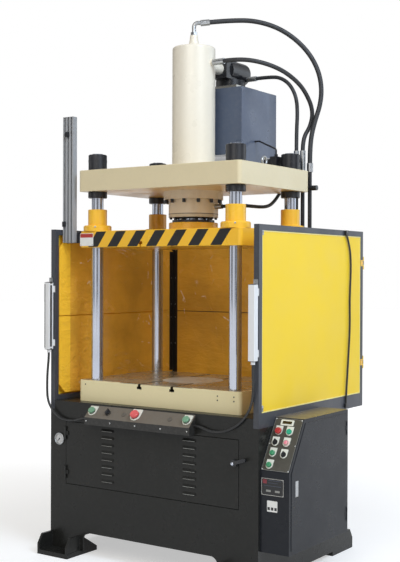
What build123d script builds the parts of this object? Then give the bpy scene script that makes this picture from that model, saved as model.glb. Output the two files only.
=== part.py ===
from build123d import *

import os
from math import atan2, cos, degrees, hypot, pi, radians, sin, tan

# Four-column hydraulic press, in millimetres.
# X runs to the right of someone at the console, Y to the back, Z up.
# The origin is on the floor, midway between the four anchor holes of the feet.

# Base cabinet
BASE_WIDTH = 1138.0
BASE_DEPTH = 775.0
SHEET = 8.0
DECK_PLATE = 12.0
FOOT_PLATE = 20.0
SHOULDER_HEIGHT = 662.0
DECK_RISE = 40.0
GUARD_TUBE = 25.0
ARCH_WIDTH = 740.0
ARCH_TOP = 108.0
ARCH_CORNER = 35.0
SHELF_TOP = 270.0
SHELF_PLATE = 8.0
SHELF_SETBACK = 60.0

# Feet
FOOT_WIDTH = 181.0
FOOT_REACH_FRONT = 90.0
FOOT_REACH_REAR = 81.0
FOOT_INSIDE = 120.0
GUSSET = 12.0
GUSSET_HEIGHT = 90.0
GUSSET_TOE = 48.0
GUSSET_SHOULDER = 26.0
ANCHOR_HOLE_RADIUS = 11.0
ANCHOR_SPACING_X = 956.0
ANCHOR_SPACING_Y = 865.0
WELD_GAP = 0.2

# Columns, bed, slide and crown
PLATEN_WIDTH = 891.0
PLATEN_CORNER = 17.0
PRESS_SETBACK = 346.0
COLUMN_RADIUS = 27.5
COLUMN_SPACING_X = 765.0
COLUMN_SPACING_Y = 466.0
BED_DEPTH = 580.0
BED_THICKNESS = 98.0
SLIDE_DEPTH = 575.0
SLIDE_THICKNESS = 75.0
SLIDE_TRAVEL = 450.0
DAYLIGHT = 614.0
CROWN_DEPTH = 595.0
CROWN_THICKNESS = 98.0
CROWN_CLEARANCE = 873.0
TSLOT_OFFSET = 90.0
TSLOT_MOUTH = 14.0
TSLOT_HEAD = 26.0
TSLOT_LIP = 12.0
TSLOT_DEPTH = 24.0
SEAT_CLEARANCE = 0.25
GUIDE_CLEARANCE = 0.3
UPPER_NUT_RADIUS = 43.0
UPPER_NUT_HEIGHT = 74.0
COLUMN_STUB = 4.0
COLLAR_RADIUS = 44.0
COLLAR_HEIGHT = 30.0
LOWER_NUT_HEIGHT = 42.0
NUT_CHAMFER = 3.0
SLEEVE_RADIUS = 44.0
SLEEVE_HEIGHT = 101.0
SLEEVE_FLANGE_RADIUS = 65.0
SLEEVE_FLANGE = 27.0
SLEEVE_SPIGOT_RADIUS = 38.0
SLEEVE_ROUNDING = 5.0

# Ram and main cylinder
BOSS_RADIUS = 114.0
BOSS_HEIGHT = 40.0
RAM_FLANGE_RADIUS = 98.0
RAM_FLANGE = 12.0
RAM_BOLT_CIRCLE = 83.0
RAM_BOLT_COUNT = 8
RAM_BOLT_RADIUS = 6.5
RAM_BOLT_HEAD = 6.0
RAM_RADIUS = 72.5
PISTON_RADIUS = 80.0
PISTON_HEIGHT = 70.0
PISTON_TOP_GAP = 12.0
BARREL_RADIUS = 99.5
BARREL_RISE = 569.0
BARREL_CAP = 40.0
BARREL_ROUNDING = 10.0
DRUM_RADIUS = 115.0
DRUM_DROP = 103.0
CYLINDER_FLANGE_RADIUS = 138.0
CYLINDER_FLANGE = 38.0
FLANGE_BOLT_CIRCLE = 127.0
FLANGE_BOLT_COUNT = 12
FLANGE_BOLT_RADIUS = 7.5
FLANGE_BOLT_HEAD = 16.0
GLAND_RING = 17.0
GLAND_BOLT_COUNT = 10
GLAND_BOLT_CIRCLE = 104.0
GLAND_BOLT_RADIUS = 6.0
GLAND_BOLT_HEAD = 8.0
GLAND_SPIGOT = 42.0
TOP_BELL_RADIUS = 31.0
TOP_BELL_WAIST = 18.0
TOP_BELL_HEIGHT = 57.0
BELL_STEPS = 8
SIDE_PORT_RISE = 491.0
LOWER_PORT_DROP = 72.0
PORT_BOSS_RADIUS = 13.0
PORT_BOSS = 8.0
EYE_RING_RADIUS = 18.0
EYE_SECTION = 5.0
EYE_COLLAR_RADIUS = 15.0
EYE_COLLAR = 7.0
EYE_SHANK_RADIUS = 8.0
EYE_SHANK = 30.0
EYE_LEFT_X = -290.0
EYE_LEFT_SETBACK = 262.0

# Ejector under the bed
EJECTOR_HEAD_RADIUS = 141.5
EJECTOR_HEAD = 36.0
EJECTOR_RISE = 120.0
EJECTOR_STEM_RADIUS = 30.0
EJECTOR_PISTON_RADIUS = 50.0
EJECTOR_PISTON = 40.0
EJECTOR_BARREL_RADIUS = 66.0
EJECTOR_FLANGE_RADIUS = 105.0
EJECTOR_FLANGE = 20.0
EJECTOR_LENGTH = 230.0

# Prefill tank and filling valve on the crown
TANK_WIDTH = 396.0
TANK_SETBACK = 102.0
TANK_DEPTH = 313.0
TANK_LIFT = 79.0
TANK_HEIGHT = 310.0
TANK_WALL = 5.0
TANK_LEG_DEPTH = 180.0
LID_WIDTH = 196.0
LID_DEPTH = 200.0
LID_HEIGHT = 35.0
LID_SETBACK = 212.0
VALVE_FLANGE_RADIUS = 72.0
VALVE_FLANGE = 37.0
VALVE_BLOCK = 88.0
VALVE_BODY_RADIUS = 56.0
VALVE_SETBACK = 253.5
VALVE_LENGTH = 160.0
NECK_RADIUS = 28.0

# Pipes behind the crown
PIPE_RADIUS = 9.5
PIPE_SETBACK = 334.0
MAIN_PIPE_X = 429.0
RETURN_PIPE_X = 391.0
PILOT_PIPE_X = 357.0
MAIN_PIPE_RISE = -2.0
RETURN_PIPE_RISE = 8.0
PILOT_PIPE_RISE = 39.0
PIPE_BEND = 60.0
PIPE_ENTRY_DROP = 142.0
PLUG_DROP = 76.0
PLUG_RADIUS = 12.0
PLUG_REACH = 38.0

# Guards
GUARD_DEPTH = 957.0
GUARD_HEIGHT = 836.0
GUARD_BOTTOM_RAIL = 62.0
OUTER_PANEL = 2.0
OUTER_PANEL_INSET = 3.0
INNER_PANEL = 3.0
INNER_PANEL_LIFT = 71.0
INNER_PANEL_DROP = 45.0
INNER_PANEL_SEAM = 432.0
INNER_PANEL_JOINT = 4.0
INNER_PANEL_INSET = 27.0
INNER_PANEL_REAR_INSET = 31.0
INNER_PANEL_CHAMFER = 40.0
SPACER_RADIUS = 7.0
SPACER_INSET = 60.0
REAR_DOOR_LIFT = 28.0
REAR_DOOR_DROP = 2.0
REAR_DOOR_RAIL = 43.0
REAR_DOOR_PANEL = 3.0
REAR_DOOR_GAP = 4.5
REAR_SHEET_REVEAL = 20.0
REAR_SHEET_EDGE = 3.0
REAR_HINGE_LIFTS = (209.0, 685.0)
REAR_PIN_INSET = 3.0
REAR_DOOR_SWING = 110.0

# Hinges
KNUCKLE_RADIUS = 5.0
PIN_RADIUS = 2.0
PIN_CLEARANCE = 0.3
KNUCKLE_LENGTH = 20.0
KNUCKLE_GAP = 0.5
STRAP = 5.0

# Light curtains and limit rail
CURTAIN = 30.0
CURTAIN_LIFT = 278.0
CURTAIN_LENGTH = 310.0
CURTAIN_LEFT_X = -567.0
CURTAIN_RIGHT_X = 552.0
CURTAIN_BRACKET = 3.0
CURTAIN_BRACKET_HEIGHT = 30.0
CURTAIN_BRACKET_INSET = 15.0
CURTAIN_GLAND_RADIUS = 9.0
CURTAIN_GLAND = 15.0
RAIL_WIDTH = 62.0
RAIL_DEPTH = 28.0
RAIL_LEFT_X = -538.0
RAIL_FORWARD = 13.0
RAIL_LIFT = 23.0
RAIL_LENGTH = 586.0
RAIL_SLOT = 8.0
RAIL_SLOT_DEPTH = 6.0
RAIL_SLOT_PITCH = 20.0
DOG_PLACES = ((-RAIL_SLOT_PITCH, 87.0), (0.0, 505.0))
RAIL_BRACKET = 8.0
RAIL_BRACKET_HEIGHT = 70.0
DOG_HEIGHT = 24.0
DOG_WIDTH = 16.0
DOG_DEPTH = 9.0

# Two-hand console
CONSOLE_LEFT = -322.0
CONSOLE_RIGHT = 256.0
CONSOLE_DROP = 7.0
CONSOLE_RISE = 50.0
CONSOLE_APRON = 33.0
CONSOLE_REACH = 48.0
CONSOLE_WALL = 2.5
PALM_LEFT_X = -293.0
PALM_RIGHT_X = 229.0
PALM_RADIUS = 16.0
ESTOP_X = -47.0
ESTOP_RADIUS = 20.0
KNOB_X = -203.0
KNOB_RADIUS = 13.0
BUTTON_STEM = 8.0
BUTTON_STEM_LENGTH = 20.0
BUTTON_HOLE_CLEARANCE = 0.3
BUTTON_BEZEL_RADIUS = 15.0
BUTTON_BEZEL = 3.0
PALM_TRAVEL = 5.0
ESTOP_TRAVEL = 4.0

# Electrical cabinet
CABINET_WIDTH = 136.0
CABINET_FRONT_SETBACK = 13.5
CABINET_DEPTH = 518.5
CABINET_BOTTOM = 160.0
CABINET_ABOVE_SHOULDER = 36.0
CABINET_SLOPE_HEIGHT = 205.5
CABINET_SLOPE_DEPTH = 123.5
CABINET_WALL = 2.5
CABINET_RIM = 40.0
CABINET_DOOR = 2.0
CABINET_DOOR_MARGIN = 17.0
CABINET_DOOR_LOW = 10.0
LATCH_SETBACK = 62.0
LATCH_DROP = 37.5
LATCH_HEIGHT = 65.0
LATCH_WIDTH = 24.0
LATCH_CUP_DEPTH = 12.0
LATCH_CLEARANCE = 1.0
LATCH_PIN_RADIUS = 1.5
LATCH_PIN_DROP = 4.0
LATCH_THICKNESS = 5.0
PANEL_BUTTON_RADIUS = 11.0
PANEL_BUTTON_TRAVEL = 3.0
PANEL_BUTTON_CAP = 10.0
PANEL_BUTTONS = {
    "panel_button_red": (34.5, 177.0, 14.0),
    "panel_button_upper": (36.0, 79.0, 11.0),
    "panel_button_lower": (36.0, 26.5, 11.0),
}
PANEL_SELECTORS = {"panel_selector_left": (33.0, 127.0), "panel_selector_right": (88.0, 77.0)}
PILOT_LAMPS = ((85.5, 177.0), (85.5, 128.0))
SELECTOR_BAR = 7.0
SELECTOR_BAR_HEIGHT = 12.0
MOUNTING_PLATE = 3.0
CABINET_HINGE_INSET = 80.0
SMALL_KNUCKLE_RADIUS = 3.0
SMALL_PIN_RADIUS = 1.2

# Front door, handle and gauge
DOOR_WIDTH = 945.0
DOOR_BOTTOM = 322.0
DOOR_UNDER_CONSOLE = 4.0
DOOR_GAP = 2.5
DOOR_SKIN = 3.0
DOOR_TRAY = 22.0
LOUVRE_LENGTH = 66.0
LOUVRE_COLUMN_X = 225.0
LOUVRE_BOTTOM = 353.0
LOUVRE_PITCH = 32.6
LOUVRE_COUNT = 8
LOUVRE_SLOT = 6.0
LOUVRE_HOOD = 6.0
LOUVRE_HOOD_HEIGHT = 12.0
FRONT_HINGE_HEIGHTS = (375.0, 555.0)
HANDLE_X = 455.0
HANDLE_Z = 512.0
HANDLE_HUB_RADIUS = 15.0
HANDLE_HUB = 12.0
HANDLE_SHAFT_RADIUS = 6.0
HANDLE_LENGTH = 58.0
HANDLE_WIDTH = 15.0
HANDLE_THICKNESS = 9.0
HANDLE_RISE = 19.0
HANDLE_TONGUE = 38.0
GAUGE_X = -512.0
GAUGE_Z = 525.0
GAUGE_RADIUS = 27.0
GAUGE_BEZEL = 6.0
GAUGE_CASE_RADIUS = 23.0
GAUGE_CASE = 28.0
GAUGE_RECESS = 4.0
NEEDLE_LENGTH = 16.0
NEEDLE_WIDTH = 2.4
NEEDLE_THICKNESS = 1.0
NEEDLE_HUB_RADIUS = 3.0
NEEDLE_PIVOT_RADIUS = 1.2

# Power unit on the shelf of the base
MOTOR_RADIUS = 92.0
MOTOR_LENGTH = 270.0
MOTOR_CENTRE_HEIGHT = 112.0
MOTOR_LEFT = -470.0
MOTOR_SETBACK = 197.5
MOTOR_FINS = 20
MOTOR_FIN = 8.0
MOTOR_FIN_WIDTH = 4.0
SHAFT_RADIUS = 14.0
SHAFT_SEAT = 40.0
COUPLING_RADIUS = 36.0
COUPLING_LENGTH = 50.0
COUPLING_GAP = 4.0
PUMP_RADIUS = 48.0
PUMP_LENGTH = 90.0
PUMP_FOOT = 10.0

# Hoses and cables
HOSE_RADIUS = 11.0
SIDE_HOSE_RADIUS = 10.0
PILOT_HOSE_RADIUS = 9.0
LOWER_HOSE_RADIUS = 8.0
GUARD_CABLE_RADIUS = 4.5
CURTAIN_CABLE_RADIUS = 5.5
FITTING_OVERSIZE = 3.5
FITTING_LENGTH = 42.0
TEE_REACH = 38.0
TEE_WIDTH = 34.0
TEE_HEIGHT = 30.0
PILOT_PORT_SETBACK = 353.5
PILOT_PORT_RISE = 469.0
ELBOW_RISE = 688.0
ELBOW_BEND = 20.0
ELBOW_NUT = 14.0
PILOT_PORT_REACH = 72.0

# Pilot valve on the crown, with its solenoid and the tube to the tank
PILOT_VALVE_X = 314.0
PILOT_VALVE_SETBACK = 220.0
PILOT_VALVE_WIDTH = 34.0
PILOT_VALVE_DEPTH = 56.0
PILOT_VALVE_HEIGHT = 66.0
SOLENOID_RADIUS = 16.0
SOLENOID_LENGTH = 44.0
SOLENOID_RISE = 42.0
SPOOL_CAP_RADIUS = 11.0
SPOOL_CAP = 12.0
VALVE_NUT_RADIUS = 9.0
VALVE_NUT = 12.0
TUBE_RADIUS = 4.0
TUBE_RISE = 145.0
TUBE_BEND = 12.0

# Places that follow from the sizes above
BASE_FRONT = -BASE_DEPTH / 2
BASE_REAR = BASE_DEPTH / 2
BASE_SIDE = BASE_WIDTH / 2
PRESS_Y = BASE_FRONT + PRESS_SETBACK
DECK_TOP = SHOULDER_HEIGHT + DECK_RISE
BED_TOP = DECK_TOP + BED_THICKNESS
SLIDE_BOTTOM = BED_TOP + DAYLIGHT
SLIDE_TOP = SLIDE_BOTTOM + SLIDE_THICKNESS
BOSS_TOP = SLIDE_TOP + BOSS_HEIGHT
CROWN_BOTTOM = BED_TOP + CROWN_CLEARANCE
CROWN_TOP = CROWN_BOTTOM + CROWN_THICKNESS
GUARD_INNER = BASE_SIDE - GUARD_TUBE
GUARD_REAR = BASE_FRONT + GUARD_DEPTH
GUARD_TOP = SHOULDER_HEIGHT + GUARD_HEIGHT
DRUM_BOTTOM = CROWN_BOTTOM - DRUM_DROP
GLAND_BOTTOM = DRUM_BOTTOM - GLAND_RING
BARREL_TOP = CROWN_TOP + BARREL_RISE
PISTON_TOP = BARREL_TOP - BARREL_CAP - PISTON_TOP_GAP
CABINET_SIDE = BASE_SIDE + CABINET_WIDTH
CABINET_FRONT = BASE_FRONT + CABINET_FRONT_SETBACK
CABINET_REAR = CABINET_FRONT + CABINET_DEPTH
CABINET_TOP = SHOULDER_HEIGHT + CABINET_ABOVE_SHOULDER
CABINET_SLOPE_FOOT = CABINET_TOP - CABINET_SLOPE_HEIGHT
CONSOLE_TOP = DECK_TOP - CONSOLE_DROP
CONSOLE_LIP = CONSOLE_TOP - CONSOLE_RISE
CONSOLE_BOTTOM = CONSOLE_LIP - CONSOLE_APRON
EJECTOR_BOTTOM = DECK_TOP - DECK_PLATE - EJECTOR_LENGTH
PIPE_Y = PRESS_Y + PIPE_SETBACK
PIPE_ENTRY_Z = DECK_TOP - PIPE_ENTRY_DROP
MAIN_PIPE_TOP = CROWN_TOP + MAIN_PIPE_RISE
RETURN_PIPE_TOP = CROWN_TOP + RETURN_PIPE_RISE
PILOT_PIPE_TOP = CROWN_TOP + PILOT_PIPE_RISE
REAR_HINGE_HEIGHTS = tuple(SHOULDER_HEIGHT + lift for lift in REAR_HINGE_LIFTS)

COLUMN_PLACES = [
    (x * COLUMN_SPACING_X / 2, PRESS_Y + y * COLUMN_SPACING_Y / 2)
    for y in (-1, 1)
    for x in (-1, 1)
]
AXIS_PLACE = (0, PRESS_Y)

pieces = []


def level(z):
    """Sketch plane at height z, facing up."""
    return Plane.XY.offset(z)


def facing_front(y):
    """Upright sketch plane at Y = y, facing the operator. Its axes are X and Z."""
    return Plane.XZ.offset(-y)


def facing_right(x):
    """Upright sketch plane at X = x, facing right. Its axes are Y and Z."""
    return Plane.YZ.offset(x)


def keep(part, label):
    """Label a finished piece and put it on the list of pieces."""
    part.label = label
    pieces.append(part)


def outline(*points):
    """Face through the given points of the current sketch."""
    Polygon(*points, align=None)


def cut_outline(*points):
    """Hole through the given points of the current sketch."""
    Polygon(*points, align=None, mode=Mode.SUBTRACT)


def base_section(inset_side, inset_top, inset_bottom=0.0):
    """Corner points of the base's section, stepped in under the guards."""
    side = BASE_SIDE - inset_side
    neck = GUARD_INNER - inset_side
    return (
        (-side, FOOT_PLATE - inset_bottom),
        (-side, SHOULDER_HEIGHT - inset_side),
        (-neck, SHOULDER_HEIGHT - inset_side),
        (-neck, DECK_TOP - inset_top),
        (neck, DECK_TOP - inset_top),
        (neck, SHOULDER_HEIGHT - inset_side),
        (side, SHOULDER_HEIGHT - inset_side),
        (side, FOOT_PLATE - inset_bottom),
    )


def add_knuckles(x, y, heights, lug, bored, radius=KNUCKLE_RADIUS, pin=PIN_RADIUS):
    """Hinge knuckles about the upright line x, y, each with a lug to a corner point.

    The bored set is the middle knuckle of each hinge. The other set is the pair above and
    below it, with the pin.
    """
    half = KNUCKLE_LENGTH / 2
    for height in heights:
        if bored:
            spans = [(height - half + KNUCKLE_GAP, height + half - KNUCKLE_GAP)]
        else:
            spans = [(height - 3 * half, height - half), (height + half, height + 3 * half)]
        for low, high in spans:
            with BuildSketch(level(low)) as knuckle:
                with Locations((x, y)):
                    Circle(radius)
                outline(*lug)
            extrude(knuckle.sketch, amount=high - low)
        pin_edge = pin + (PIN_CLEARANCE if bored else 0)
        with BuildSketch(level(height - half)) as pin_section:
            with Locations((x, y)):
                Circle(pin_edge)
        extrude(pin_section.sketch, amount=KNUCKLE_LENGTH, mode=Mode.SUBTRACT if bored else Mode.ADD)


def rectangle_points(x_low, y_low, x_high, y_high):
    """Corners of an upright rectangle given by its limits."""
    return (x_low, y_low), (x_high, y_low), (x_high, y_high), (x_low, y_high)


# Base weldment: both sides, back, deck and the shelf of the power unit
with BuildPart() as base_shell:
    with BuildSketch(facing_front(BASE_FRONT + SHEET)):
        outline(*base_section(0, 0))
        cut_outline(*base_section(SHEET, DECK_PLATE, SHEET))
    extrude(amount=-(BASE_DEPTH - SHEET))
    with BuildSketch(facing_front(BASE_REAR)):
        outline(*base_section(0, 0))
    extrude(amount=SHEET)
    shelf_front = BASE_FRONT + SHELF_SETBACK
    with BuildSketch(level(SHELF_TOP)):
        outline(*rectangle_points(-BASE_SIDE + SHEET, shelf_front, BASE_SIDE - SHEET, BASE_REAR - SHEET))
    extrude(amount=-SHELF_PLATE)
    with BuildSketch(level(DECK_TOP)):
        with Locations(*COLUMN_PLACES):
            Circle(COLUMN_RADIUS + SEAT_CLEARANCE)
        with Locations(AXIS_PLACE):
            Circle(EJECTOR_STEM_RADIUS + 2 * GUIDE_CLEARANCE)
    extrude(amount=-DECK_PLATE, mode=Mode.SUBTRACT)
    with BuildSketch(facing_front(BASE_REAR)):
        with Locations((MAIN_PIPE_X, PIPE_ENTRY_Z), (RETURN_PIPE_X, PIPE_ENTRY_Z), (PILOT_PIPE_X, PIPE_ENTRY_Z)):
            Circle(PIPE_RADIUS + SEAT_CLEARANCE)
    extrude(amount=SHEET, mode=Mode.SUBTRACT)
keep(base_shell.part, "base_shell")

# Front plate with its arched skirt and door opening
DOOR_LEFT = -DOOR_WIDTH / 2
DOOR_RIGHT = DOOR_WIDTH / 2
DOOR_TOP = CONSOLE_BOTTOM - DOOR_UNDER_CONSOLE
FRONT_HINGE_X = DOOR_LEFT - DOOR_GAP / 2
FRONT_HINGE_Y = BASE_FRONT - KNUCKLE_RADIUS - KNUCKLE_GAP
with BuildPart() as base_front_plate:
    with BuildSketch(facing_front(BASE_FRONT)):
        outline(*base_section(0, 0))
        with Locations((0, FOOT_PLATE)):
            RectangleRounded(ARCH_WIDTH, 2 * (ARCH_TOP - FOOT_PLATE), ARCH_CORNER, mode=Mode.SUBTRACT)
        cut_outline(
            *rectangle_points(
                DOOR_LEFT - DOOR_GAP, DOOR_BOTTOM - DOOR_GAP, DOOR_RIGHT + DOOR_GAP, DOOR_TOP + DOOR_GAP
            )
        )
        with Locations((GAUGE_X, GAUGE_Z)):
            Circle(GAUGE_CASE_RADIUS + SEAT_CLEARANCE, mode=Mode.SUBTRACT)
    extrude(amount=-SHEET)
    front_lug = rectangle_points(
        FRONT_HINGE_X - KNUCKLE_RADIUS - STRAP, FRONT_HINGE_Y, FRONT_HINGE_X - PIN_RADIUS, BASE_FRONT
    )
    add_knuckles(FRONT_HINGE_X, FRONT_HINGE_Y, FRONT_HINGE_HEIGHTS, front_lug, bored=False)
keep(base_front_plate.part, "base_front_plate")


def gusset_profile(wall, inside, outward, reach, length_in):
    """Side view of a gusset: a stepped toe outside the wall and, inside, a slope to the plate."""
    toe = wall + outward * reach
    face = wall + outward * WELD_GAP
    back = wall - outward * (SHEET + WELD_GAP)
    tip = wall - outward * length_in
    front_part = (
        (toe, FOOT_PLATE),
        (toe, GUSSET_TOE),
        (toe - outward * GUSSET_SHOULDER, GUSSET_HEIGHT),
        (face, GUSSET_HEIGHT),
        (face, FOOT_PLATE),
    )
    inner_part = ((back, FOOT_PLATE), (back, GUSSET_HEIGHT), (tip, FOOT_PLATE))
    return (front_part, inner_part) if inside else (front_part,)


# Four feet: a floor plate with two gussets each and one anchor hole
with BuildPart() as feet:
    for side in (-1, 1):
        for outward, wall, reach in (
            (-1, BASE_FRONT, FOOT_REACH_FRONT),
            (1, BASE_REAR, FOOT_REACH_REAR),
        ):
            outer_x = side * BASE_SIDE
            inner_x = side * (BASE_SIDE - FOOT_WIDTH)
            toe_y = wall + outward * reach
            heel_y = wall - outward * FOOT_INSIDE
            with BuildSketch(level(0)):
                outline((outer_x, toe_y), (outer_x, heel_y), (inner_x, heel_y), (inner_x, toe_y))
            extrude(amount=FOOT_PLATE)
            for x, inside in ((inner_x, True), (outer_x - side * GUSSET, False)):
                x_low = x if side > 0 else x - GUSSET
                for profile in gusset_profile(wall, inside, outward, reach, FOOT_INSIDE):
                    with BuildSketch(facing_right(x_low)):
                        outline(*profile)
                    extrude(amount=GUSSET)
    with BuildSketch(level(0)):
        with GridLocations(ANCHOR_SPACING_X, ANCHOR_SPACING_Y, 2, 2):
            Circle(ANCHOR_HOLE_RADIUS)
    extrude(amount=FOOT_PLATE, mode=Mode.SUBTRACT)
keep(feet.part, "feet")


def tslot_points(x, face, inward):
    """Section of a T-slot that opens at height face and is cut inward, up or down."""
    mouth = TSLOT_MOUTH / 2
    head = TSLOT_HEAD / 2
    lip = face + inward * TSLOT_LIP
    floor = face + inward * TSLOT_DEPTH
    return (
        (x - mouth, face),
        (x - mouth, lip),
        (x - head, lip),
        (x - head, floor),
        (x + head, floor),
        (x + head, lip),
        (x + mouth, lip),
        (x + mouth, face),
    )


# Bed with T-slots, column holes and the pocket of the ejector head
with BuildPart() as bed:
    with BuildSketch(level(DECK_TOP)):
        with Locations(AXIS_PLACE):
            Rectangle(PLATEN_WIDTH, BED_DEPTH)
    extrude(amount=BED_THICKNESS)
    fillet(bed.edges().filter_by(Axis.Z), PLATEN_CORNER)
    chamfer(bed.faces().sort_by(Axis.Z)[-1].edges(), 2)
    with BuildSketch(facing_front(PRESS_Y + BED_DEPTH / 2)):
        for x in (-TSLOT_OFFSET, TSLOT_OFFSET):
            outline(*tslot_points(x, BED_TOP, -1))
    extrude(amount=BED_DEPTH, mode=Mode.SUBTRACT)
    with BuildSketch(level(DECK_TOP)):
        with Locations(*COLUMN_PLACES):
            Circle(COLUMN_RADIUS + SEAT_CLEARANCE)
        with Locations(AXIS_PLACE):
            Circle(EJECTOR_STEM_RADIUS + GUIDE_CLEARANCE)
    extrude(amount=BED_THICKNESS, mode=Mode.SUBTRACT)
    with BuildSketch(level(BED_TOP)):
        with Locations(AXIS_PLACE):
            Circle(EJECTOR_HEAD_RADIUS + GUIDE_CLEARANCE)
    extrude(amount=-EJECTOR_HEAD, mode=Mode.SUBTRACT)
keep(bed.part, "bed")

# Columns and the nuts that clamp bed and crown to them
COLUMN_BOTTOM = DECK_TOP - DECK_PLATE - LOWER_NUT_HEIGHT - COLUMN_STUB
COLUMN_TOP = CROWN_TOP + UPPER_NUT_HEIGHT + COLUMN_STUB
with BuildPart() as columns:
    with BuildSketch(level(COLUMN_BOTTOM)):
        with Locations(*COLUMN_PLACES):
            Circle(COLUMN_RADIUS)
    extrude(amount=COLUMN_TOP - COLUMN_BOTTOM)
    chamfer(columns.faces().sort_by(Axis.Z)[-4:].edges(), COLUMN_STUB / 2)
keep(columns.part, "columns")


def add_column_rings(bottom, height, radius):
    """Four chamfered rings round the columns, from height bottom upwards."""
    with BuildSketch(level(bottom)) as ring:
        with Locations(*COLUMN_PLACES):
            Circle(radius)
            Circle(COLUMN_RADIUS + SEAT_CLEARANCE, mode=Mode.SUBTRACT)
    rings = extrude(ring.sketch, amount=height)
    round_edges = rings.edges().filter_by(GeomType.CIRCLE).filter_by(lambda e: e.radius > radius - 1)
    chamfer(round_edges, NUT_CHAMFER)


with BuildPart() as column_nuts:
    add_column_rings(CROWN_TOP, UPPER_NUT_HEIGHT, UPPER_NUT_RADIUS)
    add_column_rings(CROWN_BOTTOM - COLLAR_HEIGHT, COLLAR_HEIGHT, COLLAR_RADIUS)
    add_column_rings(DECK_TOP - DECK_PLATE - LOWER_NUT_HEIGHT, LOWER_NUT_HEIGHT, UPPER_NUT_RADIUS)
keep(column_nuts.part, "column_nuts")

# Crown
EYE_PLACES = [(EYE_LEFT_X, PRESS_Y + EYE_LEFT_SETBACK), (COLUMN_SPACING_X / 2, PRESS_Y)]
with BuildPart() as crown:
    with BuildSketch(level(CROWN_BOTTOM)):
        with Locations(AXIS_PLACE):
            Rectangle(PLATEN_WIDTH, CROWN_DEPTH)
    extrude(amount=CROWN_THICKNESS)
    fillet(crown.edges().filter_by(Axis.Z), PLATEN_CORNER)
    chamfer(crown.faces().sort_by(Axis.Z)[-1].edges(), 2)
    with BuildSketch(level(CROWN_BOTTOM)):
        with Locations(*COLUMN_PLACES):
            Circle(COLUMN_RADIUS + SEAT_CLEARANCE)
        with Locations(AXIS_PLACE):
            Circle(BARREL_RADIUS + SEAT_CLEARANCE)
    extrude(amount=CROWN_THICKNESS, mode=Mode.SUBTRACT)
    with BuildSketch(level(CROWN_TOP)):
        with Locations(*EYE_PLACES):
            Circle(EYE_SHANK_RADIUS + SEAT_CLEARANCE)
    extrude(amount=-EYE_SHANK, mode=Mode.SUBTRACT)
keep(crown.part, "crown")

# Eye bolts for lifting
with BuildPart() as eye_bolts:
    for x, y in EYE_PLACES:
        with BuildSketch(Plane.XZ.offset(-y)):
            with BuildLine():
                Polyline(
                    (x, CROWN_TOP - EYE_SHANK + 1),
                    (x + EYE_SHANK_RADIUS, CROWN_TOP - EYE_SHANK + 1),
                    (x + EYE_SHANK_RADIUS, CROWN_TOP),
                    (x + EYE_COLLAR_RADIUS, CROWN_TOP),
                    (x + EYE_COLLAR_RADIUS - 3, CROWN_TOP + EYE_COLLAR),
                    (x, CROWN_TOP + EYE_COLLAR),
                    close=True,
                )
            make_face()
        revolve(axis=Axis((x, y, 0), (0, 0, 1)))
        ring_z = CROWN_TOP + EYE_COLLAR + EYE_RING_RADIUS
        with BuildSketch(Plane.XY.offset(ring_z).shift_origin((x, y, ring_z))):
            with Locations((0, EYE_RING_RADIUS)):
                Circle(EYE_SECTION)
        revolve(axis=Axis((x, y, ring_z), (1, 0, 0)))
keep(eye_bolts.part, "eye_bolts")

# Slide: platen, boss and T-slots in its underside
with BuildPart() as slide:
    with BuildSketch(level(SLIDE_BOTTOM)):
        with Locations(AXIS_PLACE):
            Rectangle(PLATEN_WIDTH, SLIDE_DEPTH)
    extrude(amount=SLIDE_THICKNESS)
    fillet(slide.edges().filter_by(Axis.Z), PLATEN_CORNER)
    chamfer(slide.faces().sort_by(Axis.Z)[-1].edges(), 2)
    with BuildSketch(level(SLIDE_TOP)):
        with Locations(AXIS_PLACE):
            Circle(BOSS_RADIUS)
    extrude(amount=BOSS_HEIGHT)
    chamfer(slide.faces().sort_by(Axis.Z)[-1].edges(), 3)
    with BuildSketch(facing_front(PRESS_Y + SLIDE_DEPTH / 2)):
        for x in (-TSLOT_OFFSET, TSLOT_OFFSET):
            outline(*tslot_points(x, SLIDE_BOTTOM, 1))
    extrude(amount=SLIDE_DEPTH, mode=Mode.SUBTRACT)
    with BuildSketch(level(SLIDE_BOTTOM)):
        with Locations(*COLUMN_PLACES):
            Circle(SLEEVE_SPIGOT_RADIUS + SEAT_CLEARANCE)
    extrude(amount=SLIDE_THICKNESS, mode=Mode.SUBTRACT)
keep(slide.part, "slide")

# Guide sleeves, bored to run on the columns
with BuildPart() as guide_sleeves:
    bore = COLUMN_RADIUS + GUIDE_CLEARANCE
    flange_top = SLIDE_TOP + SLEEVE_FLANGE
    sleeve_top = SLIDE_TOP + SLEEVE_HEIGHT
    for x, y in COLUMN_PLACES:
        with BuildSketch(facing_front(y)):
            with BuildLine():
                Polyline(
                    (x + bore, SLIDE_BOTTOM + 1),
                    (x + SLEEVE_SPIGOT_RADIUS, SLIDE_BOTTOM + 1),
                    (x + SLEEVE_SPIGOT_RADIUS, SLIDE_TOP),
                    (x + SLEEVE_FLANGE_RADIUS, SLIDE_TOP),
                    (x + SLEEVE_FLANGE_RADIUS, flange_top - SLEEVE_ROUNDING),
                    (x + SLEEVE_FLANGE_RADIUS - SLEEVE_ROUNDING, flange_top),
                    (x + SLEEVE_RADIUS, flange_top),
                    (x + SLEEVE_RADIUS, sleeve_top - 2),
                    (x + SLEEVE_RADIUS - 2, sleeve_top),
                    (x + bore, sleeve_top),
                    close=True,
                )
            make_face()
        revolve(axis=Axis((x, y, 0), (0, 0, 1)))
keep(guide_sleeves.part, "guide_sleeves")

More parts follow.
